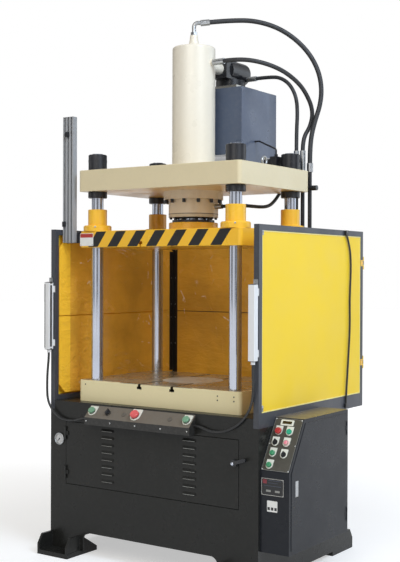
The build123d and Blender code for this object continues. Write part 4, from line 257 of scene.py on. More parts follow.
def amber_sheet(name, code, bright=None, rest=None):
    """Tinted sheet under its wrinkled protective film, with painted glints on its creases; it glows a
    little, painted light in place of daylight coming through.

    bright is a lighter colour painted as light on a lit stretch, with its mask; rest a frame colour with
    its mask.
    """
    g = Graph(name)
    cloud = g.noise(3.2, 4.0)
    tone = g.drift(cloud, linear(code), 0.7, 1.2)
    creases = g.add("ShaderNodeTexVoronoi", {"Vector": g.coords, "Scale": 7.0}, feature="DISTANCE_TO_EDGE")
    ridge = g.spread(creases.outputs["Distance"], 1.0, 0.0, 0.0, 0.03)
    # Painted highlights: white glints drawn into the colour along the film's creases
    painted_glints = g.both(ridge, g.spread(g.noise(26.0, 2.0), 0, 0.85, 0.54, 0.66))
    painted_glints = g.both(painted_glints, g.spread(g.noise(4.0, 2.0), 0, 1, 0.5, 0.6))
    # Painted light: a lighter colour on the lit front stretch
    if bright:
        tone = g.mix(bright[1](g), tone, linear(bright[0]))
    tone = g.mix(painted_glints, tone, linear(FILM_PAINTED_GLINT))
    # Painted glow: the sheet's colour given off as light, in place of daylight coming through; none on the
    # frames
    light = tone
    if rest:
        mask = rest[1](g)
        light = g.mix(mask, tone, linear("#000000"))
        tone = g.mix(mask, tone, linear(rest[0]))
    g.link(tone, "Base Color")
    g.link(light, "Emission Color")
    g.set("Emission Strength", SHEET_PAINTED_GLOW)
    film = g.noise(11.0, 3.0, (1.0, 1.0, 2.2), 0.6)
    g.link(g.bump(ridge, 0.3, 0.003, g.bump(film, 0.5, 0.02)), "Normal")
    g.link(g.spread(cloud, 0.16, 0.3), "Roughness")
    g.set("Coat Weight", 0.5)
    g.set("Coat Roughness", 0.1)
    return g.material


def glowing(name, code, strength):
    """Lens that is lit a little from inside."""
    g = Graph(name)
    tone = g.drift(g.noise(200.0), linear(code), 0.85, 1.1)
    g.link(tone, "Base Color")
    g.link(tone, "Emission Color")
    g.set("Emission Strength", strength)
    g.set("Roughness", 0.12)
    return g.material


LIT_STRETCH_END_Y = -285.0
DOOR_SHEET_FRONT_Y = 544.0
DOOR_SHEET_BACK_Y = 545.5
SLOT_FLOOR = BED_TOP - 24.5
SLOT_REACH = 0.2
RAIL_GROOVE_Y = -339.5


def knuckles(g):
    """1 on the hinge parts behind the rear posts."""
    return g.beyond("Y", GUARD_REAR + 0.2)


def lit_front_stretch(g):
    """1 on the front stretch of the side sheets, painted lighter as light falling there."""
    return g.before("Y", LIT_STRETCH_END_Y)


def door_frame(g):
    """1 on the rear doors' frames and straps, 0 on both faces of their sheets."""
    back = g.both(g.facing(BACK), g.before("Y", DOOR_SHEET_BACK_Y))
    return g.math("SUBTRACT", 1.0, g.math("MAXIMUM", g.before("Y", DOOR_SHEET_FRONT_Y), back))


def bed_face(g):
    """1 on the bed's ground top."""
    return g.beyond("Z", BED_TOP - 0.2)


def bed_slot_shade(g):
    """1 on the walls and floors of the bed's T-slots, which are painted dark as shade."""
    height = g.both(g.beyond("Z", SLOT_FLOOR), g.before("Z", BED_TOP - 0.5))
    width = g.math("LESS_THAN", g.math("ABSOLUTE", g.axis("X"), 0.0), SLOT_REACH)
    ends = g.math("ADD", g.facing(FRONT), g.facing(BACK))
    return g.both(g.both(height, width), g.math("SUBTRACT", 1.0, ends))


def rail_groove_shade(g):
    """1 on the floors of the rail's front grooves, which are painted dark as shade."""
    return g.both(g.facing(FRONT), g.beyond("Y", RAIL_GROOVE_Y))


# Lighter colour for faces that look up: some dust, and a painted sheen of the light falling on them
TOP_DUST_AND_SHEEN = "#6b6358"
CHARCOAL = paint("charcoal", "#242422", 0.3, 0.06, 700.0, 0.08, dust=0.012, gloss=0.22)
CABINET_PAINT = paint(
    "cabinet_charcoal", "#202227", 0.3, 0.06, 700.0, 0.07, dust=0.01, gloss=0.18,
    # The cabinet's top is painted lighter: painted sheen, with dust
    second=(TOP_DUST_AND_SHEEN, lambda g: g.facing(UP)),
)
CONSOLE_PAINT = paint(
    "console_charcoal", "#2b2a28", 0.36, 0.06, 900.0, 0.12, dust=0.05, gloss=0.35,
    # The console's sloping face is painted lighter: painted sheen, with dust
    second=(TOP_DUST_AND_SHEEN, lambda g: g.facing(CONSOLE_NORMAL)),
)
BEIGE = paint("beige", "#dccda8", 0.34, 0.03, 350.0, 0.05, dust=0.05)
# Beige of the bed, lighter than the crown's: painted light that makes up for the shade on the bed
BED_BEIGE = paint(
    "bed_beige", "#ecdeb0", 0.38, 0.03, 350.0, 0.05, dust=0.03,
    # Painted shade inside the T-slots; the ground top is bare metal
    second=("#2e271b", bed_slot_shade), ground=("#b9b19c", bed_face),
)
CREAM = paint("cream", "#e8e0cf", 0.3, 0.025, 300.0, 0.04, dust=0.04, edge=False)
STRONG_YELLOW = paint("strong_yellow", "#f5bd32", 0.3, 0.03, 400.0, 0.04, coat=0.2)
SHEET_YELLOW = paint("sheet_yellow", "#f8d22e", 0.42, 0.02, 500.0, 0.02, gloss=0.35)
# Light yellow of the sheets' rolled edge: a painted highlight
SHEET_EDGE_HIGHLIGHT = paint("sheet_edge_highlight", "#fbe88e", 0.3, 0.02, 500.0, 0.03)
FRAME = paint(
    "frame_grey", "#3f4147", 0.36, 0.06, 700.0, 0.08, dust=0.03, gloss=0.4, second=("#e6bd36", knuckles)
)
FRAME_DARK = paint("frame_dark", "#26221f", 0.4, 0.06, 700.0, 0.06, gloss=0.3)
SLATE = paint("slate", "#4b566b", 0.32, 0.06, 400.0, 0.05, dust=0.05)
BLACK_STEEL = paint("black_steel", "#1c1d22", 0.3, 0.12, 260.0, 0.1, dust=0.03, gloss=0.45)
CHROME = metal("hard_chrome", "#bcc1cd", 0.09, (1.0, 1.0, 0.02), 400.0, 0.01, 0.06, metallic=0.86)
MACHINED = metal("machined_steel", "#b4b3ae", 0.3, (1.0, 0.05, 1.0), 300.0, 0.05, 0.08)
ZINC = metal("zinc", "#a6a8aa", 0.3, (1.0, 1.0, 0.3), 200.0, 0.05, 0.12)
BRIGHT_STEEL = paint("bright_steel", "#c9c7bf", 0.3, 0.08, 300.0, 0.04, dust=0.05)
ALUMINIUM = paint("anodised_aluminium", "#e6e6e6", 0.34, 0.03, 600.0, 0.03)
# Painted shade on the floors of the rail's grooves
RAIL_GREY = paint("rail_grey", "#a2a3a5", 0.4, 0.08, 500.0, 0.06, second=("#3a3b3d", rail_groove_shade))
DULL_DRUM = paint("drum", "#cfc7b4", 0.3, 0.05, 300.0, 0.05, dust=0.1, edge=False)
HOSE = plastic("hose_rubber", "#232427", 0.5, 0.2, 900.0, 0.25)
JACKET = plastic("cable_jacket", "#1f1f1f", 0.45, 0.15, 1200.0, 0.15)
AMBER = amber_sheet("amber_sheet", "#dba238", bright=("#f6bf38", lit_front_stretch))
DOOR_AMBER = amber_sheet("door_amber", "#dba238", rest=("#35302b", door_frame))
GREEN = plastic("green_plastic", "#3f8f63", 0.34)
PALM_GREEN = plastic("palm_green", "#6f9a7b", 0.36)
RED = plastic("red_plastic", "#b83634", 0.3)
STOP_RED = plastic("stop_red", "#dc5c5c", 0.3)
BLACK_PLASTIC = plastic("black_plastic", "#1d1e20", 0.4)
LEGEND = plastic("legend_plate", "#dfdfd3", 0.4, 0.03)
PANEL_PLATE = paint("panel_plate", "#48453d", 0.4, 0.06, 900.0, 0.05, dust=0.04, edge=False)
PALE_PLASTIC = plastic("pale_plastic", "#d8d6cf", 0.4)
WHITE_PLATE = plastic("white_plate", "#e9e8e4", 0.4, 0.03)
BLACK_PLATE = plastic("black_plate", "#161618", 0.38, 0.1)
RED_PLATE = plastic("red_plate", "#b23a34", 0.4, 0.05)
MAROON_PLATE = plastic("maroon_plate", "#7c2b33", 0.4, 0.05)
CONSOLE_PLUG = plastic("console_plug", "#5c564d", 0.4)
STRIPE_BLACK = plastic("stripe_black", "#131211", 0.36, 0.06)
# Light grey: the painted highlight on the louvre lips, and the plain colour of small plates, screws and the
# cover's rim
BRIGHT_EDGE = paint("bright_edge", "#8f8f8a", 0.4, 0.2, 900.0, 0.05, edge=False)
GREEN_LAMP = glowing("green_lamp", "#36a884", 0.05)
PINK_LAMP = glowing("pink_lamp", "#e58a96", 0.08)
DISPLAY = glowing("display", "#2e2418", 0.0)
DIAL = plastic("dial_grey", "#c9c9c8", 0.3, 0.02)
# Near-black: painted shade in sockets, slots and holes, and the printed ticks of the gauge
RECESS_SHADE_AND_PRINT = plastic("recess_shade_and_print", "#101010", 0.6)

FINISH = {
    CHARCOAL: "base_shell base_front_plate feet front_door",
    CABINET_PAINT: "cabinet_body cabinet_door",
    CONSOLE_PAINT: "console",
    BEIGE: "crown",
    BED_BEIGE: "bed",
    CREAM: "main_cylinder ejector_cylinder",
    DULL_DRUM: "cylinder_gland",
    STRONG_YELLOW: "slide guide_sleeves",
    SHEET_YELLOW: "guard_panel_left guard_panel_right",
    FRAME: "guard_frame_left guard_frame_right",
    AMBER: "inner_panels",
    DOOR_AMBER: "rear_door_left rear_door_right",
    SLATE: "oil_tank pump_motor",
    BLACK_STEEL: "column_nuts ram_flange filling_valve oil_pipes oil_pump rail_fittings door_handle",
    CHROME: "columns ram",
    MACHINED: "tank_lid pressure_gauge pump_coupling",
    BRIGHT_STEEL: "ejector_head",
    ZINC: "eye_bolts hose_fittings cabinet_latch",
    ALUMINIUM: "light_curtains",
    RAIL_GREY: "limit_rail",
    HOSE: "hose_top hose_side hose_pilot hose_lower",
    JACKET: "guard_cable curtain_cable_left curtain_cable_right",
    PALM_GREEN: "palm_button_left palm_button_right",
    GREEN: "panel_button_upper panel_button_lower",
    STOP_RED: "emergency_stop",
    RED: "panel_button_red",
    BLACK_PLASTIC: "console_knob panel_selector_left panel_selector_right gauge_needle",
    PALE_PLASTIC: "switchgear_plate",
    GREEN_LAMP: "pilot_lamps",
}
for material, names in FINISH.items():
    for name in names.split():
        mesh = NODES[name].data
        if mesh.materials:
            for index in range(len(mesh.materials)):
                mesh.materials[index] = material
        else:
            mesh.materials.append(material)


# Shapes of the pieces that are added to the frame

SMOOTH_ANGLE = 40
TINY = 1e-6


def place(obj, body, slot=None):
    """Ride on a body; the slot is not used."""
    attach(obj, body)


def mesh_piece(name, bm, materials, smooth_angle=None):
    """Object from a bmesh given in millimetres, in the row frame."""
    bmesh.ops.scale(bm, vec=(MM, MM, MM), verts=bm.verts)
    bmesh.ops.recalc_face_normals(bm, faces=bm.faces)
    mesh = bpy.data.meshes.new(name)
    if smooth_angle:
        for face in bm.faces:
            face.smooth = True
        for edge in bm.edges:
            if len(edge.link_faces) == 2 and edge.calc_face_angle() > math.radians(smooth_angle):
                edge.smooth = False
    bm.to_mesh(mesh)
    bm.free()
    for material in materials:
        mesh.materials.append(material)
    obj = bpy.data.objects.new(name, mesh)
    bpy.context.scene.collection.objects.link(obj)
    return obj


def frame_matrix(origin, normal, along):
    """Matrix whose Z is the normal and whose X is along."""
    z = Vector(normal).normalized()
    x = (Vector(along) - Vector(along).dot(z) * z).normalized()
    y = z.cross(x)
    rows = [(x[i], y[i], z[i], origin[i]) for i in range(3)]
    return Matrix((*rows, (0, 0, 0, 1)))


def to_front(x, y, z):
    """Matrix at a point that faces the front, its X axis to the right."""
    return frame_matrix((x, y, z), FRONT, RIGHT)


def to_side(way, x, y, z):
    """Matrix at a point that faces left for way -1 and right for 1, its X axis to the back."""
    return frame_matrix((x, y, z), (way, 0, 0), BACK)


def raised(matrix, height, up=0):
    """The matrix moved out along its normal, and up along its Y axis."""
    return matrix @ Matrix.Translation((0, up, height))


def lathe(bm, profile, matrix, segments=32, index=0):
    """Surface turned from (radius, height) pairs about the matrix's Z axis."""
    rings = []
    for radius, height in profile:
        if radius < TINY:
            rings.append([bm.verts.new(matrix @ Vector((0, 0, height)))])
            continue
        circle = []
        for step in range(segments):
            angle = 2 * math.pi * step / segments
            point = Vector((radius * math.cos(angle), radius * math.sin(angle), height))
            circle.append(bm.verts.new(matrix @ point))
        rings.append(circle)
    for low, high in zip(rings, rings[1:]):
        for step in range(segments):
            after = (step + 1) % segments
            if len(low) == 1:
                corners = (low[0], high[after], high[step])
            elif len(high) == 1:
                corners = (low[step], low[after], high[0])
            else:
                corners = (low[step], low[after], high[after], high[step])
            bm.faces.new(corners).material_index = index


def slab(bm, corners, matrix, low, high, index=0, bevel=0.0):
    """Prism of a polygon in the matrix's XY plane, from height low to high, edges bevelled."""
    bottom = [bm.verts.new(matrix @ Vector((x, y, low))) for x, y in corners]
    top = [bm.verts.new(matrix @ Vector((x, y, high))) for x, y in corners]
    count = len(corners)
    faces = [bm.faces.new(bottom[::-1]), bm.faces.new(top)]
    for step in range(count):
        after = (step + 1) % count
        faces.append(bm.faces.new((bottom[step], bottom[after], top[after], top[step])))
    for face in faces:
        face.material_index = index
    if bevel:
        edges = list(dict.fromkeys(edge for face in faces for edge in face.edges))
        bmesh.ops.bevel(bm, geom=edges, offset=bevel, segments=2, affect="EDGES", profile=0.7)


def bar(left, right, low, high):
    """Corner points of a plain rectangle."""
    return [(left, low), (right, low), (right, high), (left, high)]


def rounded(width, height, radius, steps=5, centre=(0, 0)):
    """Corner points of a rounded rectangle."""
    points = []
    for sx, sy, start in ((1, 1, 0), (-1, 1, 90), (-1, -1, 180), (1, -1, 270)):
        cx = centre[0] + sx * (width / 2 - radius)
        cy = centre[1] + sy * (height / 2 - radius)
        for step in range(steps + 1):
            angle = math.radians(start + 90 * step / steps)
            points.append((cx + radius * math.cos(angle), cy + radius * math.sin(angle)))
    return points


def ring(bm, outer, inner, matrix, low, high, index=0):
    """Flat ring between two outlines with as many points, standing from low to high."""
    rows = []
    for corners, height in ((outer, low), (outer, high), (inner, high), (inner, low)):
        rows.append([bm.verts.new(matrix @ Vector((x, y, height))) for x, y in corners])
    for before, after in zip(rows, rows[1:]):
        for step in range(len(before)):
            beside = (step + 1) % len(before)
            face = bm.faces.new((before[step], before[beside], after[beside], after[step]))
            face.material_index = index


LEGEND_HEIGHT = 3.5
LEGEND_STEPS = 48


def legend(bm, matrix, half, up, hole):
    """Legend plate of a push-button: square above, round below, with the button's hole."""
    corner = math.atan2(up, half)
    steps = [2 * math.pi * step / LEGEND_STEPS for step in range(LEGEND_STEPS)]
    outer = []
    inner = []
    for turn in sorted(steps + [corner, math.pi - corner]):
        c = math.cos(turn)
        s = math.sin(turn)
        reach = min(half / max(abs(c), TINY), up / s) if s > TINY else half
        outer.append((reach * c, reach * s))
        inner.append((hole * c, hole * s))
    ring(bm, outer, inner, matrix, 0, LEGEND_HEIGHT)


def cap_screw(bm, matrix, radius, height, index, socket):
    """Socket-head cap screw: rounded head with a hexagon pit in near-black, painted shade."""
    edge = radius * 0.12
    key = radius * 0.55
    head = [(radius, 0), (radius, height - edge), (radius - edge, height), (key, height)]
    lathe(bm, head, matrix, 24, index)
    lathe(bm, [(key, height), (key * 0.97, height * 0.45), (0, height * 0.42)], matrix, 6, socket)


def pan_screw(bm, matrix, radius, index, socket):
    """Small domed screw with a cross of slots drawn as near-black bars, painted shade."""
    dome = [(radius, 0), (radius * 0.9, radius * 0.35), (radius * 0.5, radius * 0.55), (0, radius * 0.6)]
    lathe(bm, dome, matrix, 16, index)
    slot = bar(-radius * 0.55, radius * 0.55, -radius * 0.12, radius * 0.12)
    for turn in (0, math.pi / 2):
        slab(bm, slot, matrix @ Matrix.Rotation(turn, 4, "Z"), radius * 0.5, radius * 0.64, socket)


def on_console(x, lift=0.0):
    """Matrix on the console's sloping face; its X axis runs to the right."""
    origin = Vector((x, *CONSOLE_MIDDLE)) + Vector(CONSOLE_NORMAL) * lift
    return frame_matrix(origin, CONSOLE_NORMAL, RIGHT)


def on_panel(s, t, lift=0.0):
    """Matrix on the cabinet's sloping panel, s from its left edge and t up the slope."""
    foot = Vector((BASE_SIDE + s, CABINET_FRONT, PANEL_FOOT_Z))
    return frame_matrix(foot + Vector(PANEL_UP) * t + Vector(PANEL_NORMAL) * lift, PANEL_NORMAL, RIGHT)


# Warning stripes and the bare label plate on the slide's front
STRIPE_EDGES = (-342.0, -227.0, -112.0, -5.0, 109.5, 223.6, 339.6)
STRIPE_WIDTH = 57.0
STRIPE_LEAN = 51.0
STRIPE_END = 426
STRIPE_LOW = SLIDE_BOTTOM + 2
STRIPE_HIGH = SLIDE_TOP - 3
TAPE = 0.35
PLATE = 1.0
LABEL_X = -402
bm = bmesh.new()
front = to_front(0, SLIDE_FRONT, 0)
for edge in STRIPE_EDGES:
    low_left = edge - STRIPE_LEAN
    corners = [
        (low_left, STRIPE_LOW),
        (low_left + STRIPE_WIDTH, STRIPE_LOW),
        (min(edge + STRIPE_WIDTH, STRIPE_END), STRIPE_HIGH),
        (edge, STRIPE_HIGH),
    ]
    slab(bm, corners, front, 0.0, TAPE)
place(mesh_piece("warning_stripes", bm, [STRIPE_BLACK]), SLIDE, "black_plastic")

bm = bmesh.new()
slab(bm, rounded(80, 58, 3, centre=(LABEL_X, 1450)), front, 0.0, PLATE, 0, 0.2)
slab(bm, rounded(76, 17, 2, centre=(LABEL_X, 1468)), front, PLATE, 1.3, 1)
for side in SIDES:
    pan_screw(bm, to_front(LABEL_X + side * 35, SLIDE_FRONT - PLATE, 1426), 2.4, 2, 3)
place(mesh_piece("slide_label_plate", bm, [WHITE_PLATE, RED_PLATE, ZINC, RECESS_SHADE_AND_PRINT]), SLIDE)

# Black cap screws over the plain heads of the cylinder's flange and of its gland
bm = bmesh.new()
for count, circle, radius, head, z, start in (
    (12, 127, 7.5, 15.8, 1619, 15),
    (10, 104, 6.0, 7.8, 1545, 0),
):
    key = radius * 0.55
    for step in range(count):
        angle = math.radians(start + 360 * step / count)
        spot = (circle * math.cos(angle), PRESS_Y + circle * math.sin(angle), z)
        screw = frame_matrix(spot, DOWN, RIGHT)
        lathe(bm, [(radius + 0.4, -head), (radius + 0.4, 0.1), (radius - 0.6, 0.8), (key, 0.8)], screw, 24)
        # Socket pit in near-black, painted shade
        lathe(bm, [(key, 0.8), (radius * 0.5, -0.2), (0, -0.3)], screw, 6, 1)
place(mesh_piece("cylinder_screws", bm, [BLACK_STEEL, RECESS_SHADE_AND_PRINT], SMOOTH_ANGLE), FIXED, "black_steel")

# Dark ring in the gap between drum and gland, painted shade there, and the ram's wiper seal
GAP_SHADE_Z = 1568.6
WIPER_Z = 1553
bm = bmesh.new()
gap_shade = [(114.2, -1.6), (115.5, -1.2), (115.5, 1.2), (114.2, 1.6)]
lathe(bm, gap_shade, frame_matrix((0, PRESS_Y, GAP_SHADE_Z), UP, RIGHT), 72)
wiper = [(92, -0.5), (92, 3.5), (88, 5.5), (74, 6.5), (73, 5.0), (73, -0.5)]
lathe(bm, wiper, frame_matrix((0, PRESS_Y, WIPER_Z), DOWN, RIGHT), 64)
place(mesh_piece("cylinder_gap_shade_and_seal", bm, [BLACK_STEEL], SMOOTH_ANGLE), FIXED, "black_steel")

# Four pin holes round each nut of the crown, shallow near-black dishes that are painted shade
COLUMNS = [(sx * COLUMN_X, PRESS_Y + sy * COLUMN_Y) for sx in SIDES for sy in SIDES]
NUT_REACH = 42.6
PIN_HOLE_Z = CROWN_TOP + 44
bm = bmesh.new()
for x, y in COLUMNS:
    for turn in range(4):
        angle = math.radians(35 + 90 * turn)
        out = Vector((math.cos(angle), math.sin(angle), 0))
        hole = frame_matrix(Vector((x, y, PIN_HOLE_Z)) + out * NUT_REACH, out, UP)
        lathe(bm, [(6.5, 0), (6.5, 0.6), (5.2, 0.7), (4.6, 0.2), (0, 0.1)], hole, 20)
place(mesh_piece("nut_pin_holes", bm, [RECESS_SHADE_AND_PRINT], SMOOTH_ANGLE), FIXED, "black_steel")

# Grease nipples on the guide sleeves' flanges
NIPPLE_REACH = 60.5
NIPPLE_Z = SLIDE_TOP + 20
bm = bmesh.new()
out = Vector((0.5, -0.85, 0)).normalized()
for x, y in COLUMNS:
    nipple = frame_matrix(Vector((x, y, NIPPLE_Z)) + out * NIPPLE_REACH, out, UP)
    lathe(bm, [(4, 0), (4, 5), (2.6, 6), (2.2, 10), (3, 11), (3, 13), (0, 14)], nipple, 16)
place(mesh_piece("grease_nipples", bm, [ZINC], SMOOTH_ANGLE), SLIDE, "zinc_steel")


# Screws of the console's strip and the two blanking plugs of its face
CONSOLE_SCREWS = (-312, -174, -34, 105, 244)
CONSOLE_PLUGS = (-114, 140)
bm = bmesh.new()
for x in CONSOLE_SCREWS:
    pan_screw(bm, to_front(x, BASE_FRONT - 48, 629), 3.2, 0, 1)
for x in CONSOLE_PLUGS:
    lathe(bm, [(11.5, 0), (11.5, 1.8), (9.5, 2.6), (0, 2.8)], on_console(x), 28, 2)
place(mesh_piece("console_screws", bm, [WHITE_PLATE, RECESS_SHADE_AND_PRINT, CONSOLE_PLUG], SMOOTH_ANGLE), FIXED)

# Legend plates of the palm buttons and of the emergency stop
bm = bmesh.new()
for x in PALM_PLACES:
    legend(bm, on_console(x), 21, 28, 16.6)
legend(bm, on_console(STOP_X), 26, 33, 20.6)
place(mesh_piece("console_legends", bm, [LEGEND]), FIXED)

# Collar round the emergency stop, clear of the head when it is pressed
bm = bmesh.new()
lathe(bm, [(22.4, 0), (22.4, 3.2), (21.8, 3.8), (20.7, 3.8), (20.7, 0)], on_console(STOP_X, 0.6), 48)
place(mesh_piece("stop_collar", bm, [PALE_PLASTIC], SMOOTH_ANGLE), FIXED)


# Operator panel: cover plate with its screws, legend plates, display
COVER_SCREW_INSET = 8
PINK_LAMP_PLACE = (85.5, 128)
PANEL_HOLE = 11.6
PANEL_LEGENDS = (
    (34.5, 177, 14.6),
    (36, 79, PANEL_HOLE),
    (36, 26.5, PANEL_HOLE),
    (33, 127, PANEL_HOLE),
    (88, 77, PANEL_HOLE),
    (85.5, 177, PANEL_HOLE),
    (*PINK_LAMP_PLACE, PANEL_HOLE),
)
bm = bmesh.new()
cover = on_panel(PANEL_WIDTH / 2, PANEL_SLOPE / 2)
ring(bm, rounded(128, 231, 4, 6), rounded(125.6, 228.6, 3, 6), cover, 0, 0.7, 1)
slab(bm, rounded(126, 229, 3, 6), cover, 0, 0.4, 0)
for s in (COVER_SCREW_INSET, PANEL_WIDTH - COVER_SCREW_INSET):
    for t in (COVER_SCREW_INSET, PANEL_SLOPE / 2, PANEL_SLOPE - COVER_SCREW_INSET):
        pan_screw(bm, on_panel(s, t, 0.4), 2.6, 2, 3)
place(mesh_piece("panel_cover", bm, [PANEL_PLATE, BRIGHT_EDGE, WHITE_PLATE, RECESS_SHADE_AND_PRINT]), FIXED)

bm = bmesh.new()
for s, t, hole in PANEL_LEGENDS:
    legend(bm, on_panel(s, t), max(hole + 1.5, 15.6), 24, hole)
place(mesh_piece("panel_legends", bm, [LEGEND]), FIXED)

bm = bmesh.new()
display = on_panel(64, 217)
slab(bm, rounded(60, 25, 3), display, 0, 3.0, 0, 0.6)
slab(bm, rounded(44, 13, 1), display, 3.0, 3.2, 1)
place(mesh_piece("panel_display", bm, [LEGEND, DISPLAY]), FIXED)

# Pink cover on the second lamp, around the plain lens of the frame
bm = bmesh.new()
lens = [(11.3, 1.0), (11.3, 8.5), (9.5, 10.3), (5, 11.0), (0, 11.2)]
lathe(bm, lens, on_panel(*PINK_LAMP_PLACE), 32)
place(mesh_piece("pink_lens", bm, [PINK_LAMP], SMOOTH_ANGLE), FIXED, "lamp_plastic")

# Bare black plate on the cabinet's front: rim, maroon field, plain bars and two small plates
BLACK_CENTRE = (628, 430)
bm = bmesh.new()
face = to_front(0, CABINET_FRONT, 0)
slab(bm, rounded(106, 71, 3, centre=BLACK_CENTRE), face, 0, PLATE, 0, 0.3)
rim = rounded(103, 68, 2, centre=BLACK_CENTRE)
ring(bm, rim, rounded(100.4, 65.4, 1.5, centre=BLACK_CENTRE), face, 0.9, 1.3, 1)
slab(bm, rounded(19, 17, 2, centre=(592, 451)), face, PLATE, 1.2, 2)
for z, left, right in ((456, 608, 668), (446, 608, 652), (434, 588, 668)):
    slab(bm, bar(left, right, z, z + 1.2), face, PLATE, 1.15, 4)
for x in (609, 651):
    slab(bm, rounded(22, 8, 1, centre=(x, 414)), face, PLATE, 1.3, 3)
for x in (580, 676):
    for z in (399, 461):
        pan_screw(bm, to_front(x, CABINET_FRONT - PLATE, z), 2.0, 3, 5)
BLACK_PLATE_SLOTS = [BLACK_PLATE, PALE_PLASTIC, MAROON_PLATE, BRIGHT_EDGE, SLATE, RECESS_SHADE_AND_PRINT]
place(mesh_piece("cabinet_black_plate", bm, BLACK_PLATE_SLOTS), FIXED)

# Bare white plate under it
WHITE_X = 627
bm = bmesh.new()
slab(bm, rounded(48, 45, 2, centre=(WHITE_X, 352)), face, 0, PLATE, 0, 0.2)
for x in (WHITE_X - 16, WHITE_X, WHITE_X + 16):
    slab(bm, rounded(11, 12, 1, centre=(x, 342)), face, PLATE, 1.2, 1)
place(mesh_piece("cabinet_white_plate", bm, [WHITE_PLATE, BLACK_PLATE]), FIXED)


# Gauge: ticks on a grey dial, and a bezel
TICKS = 28
bm = bmesh.new()
dial = to_front(GAUGE[0], BASE_FRONT - 2.1, GAUGE[1])
lathe(bm, [(22.8, 0), (22.6, 0.4), (3.4, 0.4)], dial, 48, 0)
for step in range(TICKS):
    angle = math.radians(225 - 270 * step / (TICKS - 1))
    inner = 17.5 if step % 3 == 0 else 19.0
    slab(bm, bar(inner, 21.4, -0.3, 0.3), dial @ Matrix.Rotation(angle, 4, "Z"), 0.4, 0.52, 1)
place(mesh_piece("gauge_dial", bm, [DIAL, RECESS_SHADE_AND_PRINT]), FIXED)
bm = bmesh.new()
bezel = [(22.9, -3.0), (23.1, 0), (23.8, 1.0), (26.2, 1.0), (27.3, 0), (27.3, -5)]
lathe(bm, bezel, to_front(GAUGE[0], BASE_FRONT - 6, GAUGE[1]), 56)
place(mesh_piece("gauge_rim", bm, [ZINC], SMOOTH_ANGLE), FIXED, "zinc_steel")

# Chrome cap on the door handle's hub, and light grey lips of the louvres, a painted highlight along each
# lip
bm = bmesh.new()
hub = to_front(HANDLE[0], BASE_FRONT - 21.3, HANDLE[1])
lathe(bm, [(6.5, 0), (6.5, 1.5), (5.0, 3.0), (0, 3.6)], hub, 32)
place(mesh_piece("handle_cap", bm, [CHROME], SMOOTH_ANGLE), "service_handle", "zinc_steel")

bm = bmesh.new()
lip = to_front(0, BASE_FRONT - 6, 0)
for x in (-LOUVRE_X, LOUVRE_X):
    for step in range(LOUVRE_COUNT):
        z = LOUVRE_BOTTOM + step * LOUVRE_PITCH
        low = z + 0.2
        high = z + 2.0
        slab(bm, [(x - 31, low), (x + 31, low), (x + 30, high), (x - 30, high)], lip, -0.1, 0.3)
place(mesh_piece("louvre_lips", bm, [BRIGHT_EDGE]), "service_door")


# Clips at the front corners of the outer sheets
CLIP = 2.0
bm = bmesh.new()
for side in SIDES:
    for z in (1466.0, 742.0):
        matrix = to_side(side, side * (BASE_SIDE - 3), BASE_FRONT + GUARD_POST + 7, z)
        slab(bm, rounded(13, 26, 3), matrix, 0, CLIP, 0, 0.4)
        cap_screw(bm, raised(matrix, CLIP), 3.6, 2.4, 0, 1)
place(mesh_piece("sheet_clips", bm, [ZINC, RECESS_SHADE_AND_PRINT], SMOOTH_ANGLE), FIXED, "zinc_steel")

# Dark strips that clamp the amber sheets in the rear corners, on the doors and on the side sheets
STRIP = 2.0
STRIP_MIDDLE = 1093.0
STRIP_SCREWS = (760.0, 920.0, 1060.0, 1130.0, 1270.0, 1420.0)
DOOR_STRIP_X = 524.0
DOOR_STRIP_Y = 541.5
SIDE_STRIP_X = 541.0
SIDE_STRIP_Y = 523.0
STRIP_SLOTS = [FRAME_DARK, ZINC, RECESS_SHADE_AND_PRINT]
for side, word in zip(SIDES, ("left", "right")):
    bm = bmesh.new()
    x = side * DOOR_STRIP_X
    slab(bm, rounded(25, 796, 2), to_front(x, DOOR_STRIP_Y, STRIP_MIDDLE), 0, STRIP, 0, 0.4)
    for z in STRIP_SCREWS:
        pan_screw(bm, to_front(x, DOOR_STRIP_Y - STRIP, z), 2.6, 1, 2)
    place(mesh_piece("door_strip_" + word, bm, STRIP_SLOTS), word + "_rear_door")
bm = bmesh.new()
for side in SIDES:
    strip = to_side(-side, side * SIDE_STRIP_X, SIDE_STRIP_Y, STRIP_MIDDLE)
    slab(bm, rounded(27, 636, 2), strip, 0, STRIP, 0, 0.4)
    for z in STRIP_SCREWS[1:-1]:
        pan_screw(bm, to_side(-side, side * (SIDE_STRIP_X - STRIP), SIDE_STRIP_Y, z), 2.6, 1, 2)
place(mesh_piece("side_strips", bm, STRIP_SLOTS), FIXED)

# Rolled edge round the outer sheets in a light yellow, a painted highlight along the edges
bm = bmesh.new()
for side in SIDES:
    sheet = to_side(side, side * 566.0, 91, 1098.5)
    ring(bm, rounded(907, 749, 3, 3), rounded(897, 739, 3, 3), sheet, 0, 1.6)
place(mesh_piece("sheet_edging", bm, [SHEET_EDGE_HIGHLIGHT], SMOOTH_ANGLE), FIXED)

# Yellow hinge plates on the rear posts' outer faces
HINGE_PLATE = 2.0
bm = bmesh.new()
for side in SIDES:
    for z in (871.0, 1347.0):
        matrix = to_side(side, side * BASE_SIDE, GUARD_REAR - 13, z)
        slab(bm, rounded(24, 30, 2), matrix, 0, HINGE_PLATE, 0, 0.4)
        for lift in (-8, 8):
            pan_screw(bm, raised(matrix, HINGE_PLATE, up=lift), 2.4, 1, 2)
place(mesh_piece("hinge_plates", bm, [STRONG_YELLOW, ZINC, RECESS_SHADE_AND_PRINT]), FIXED)


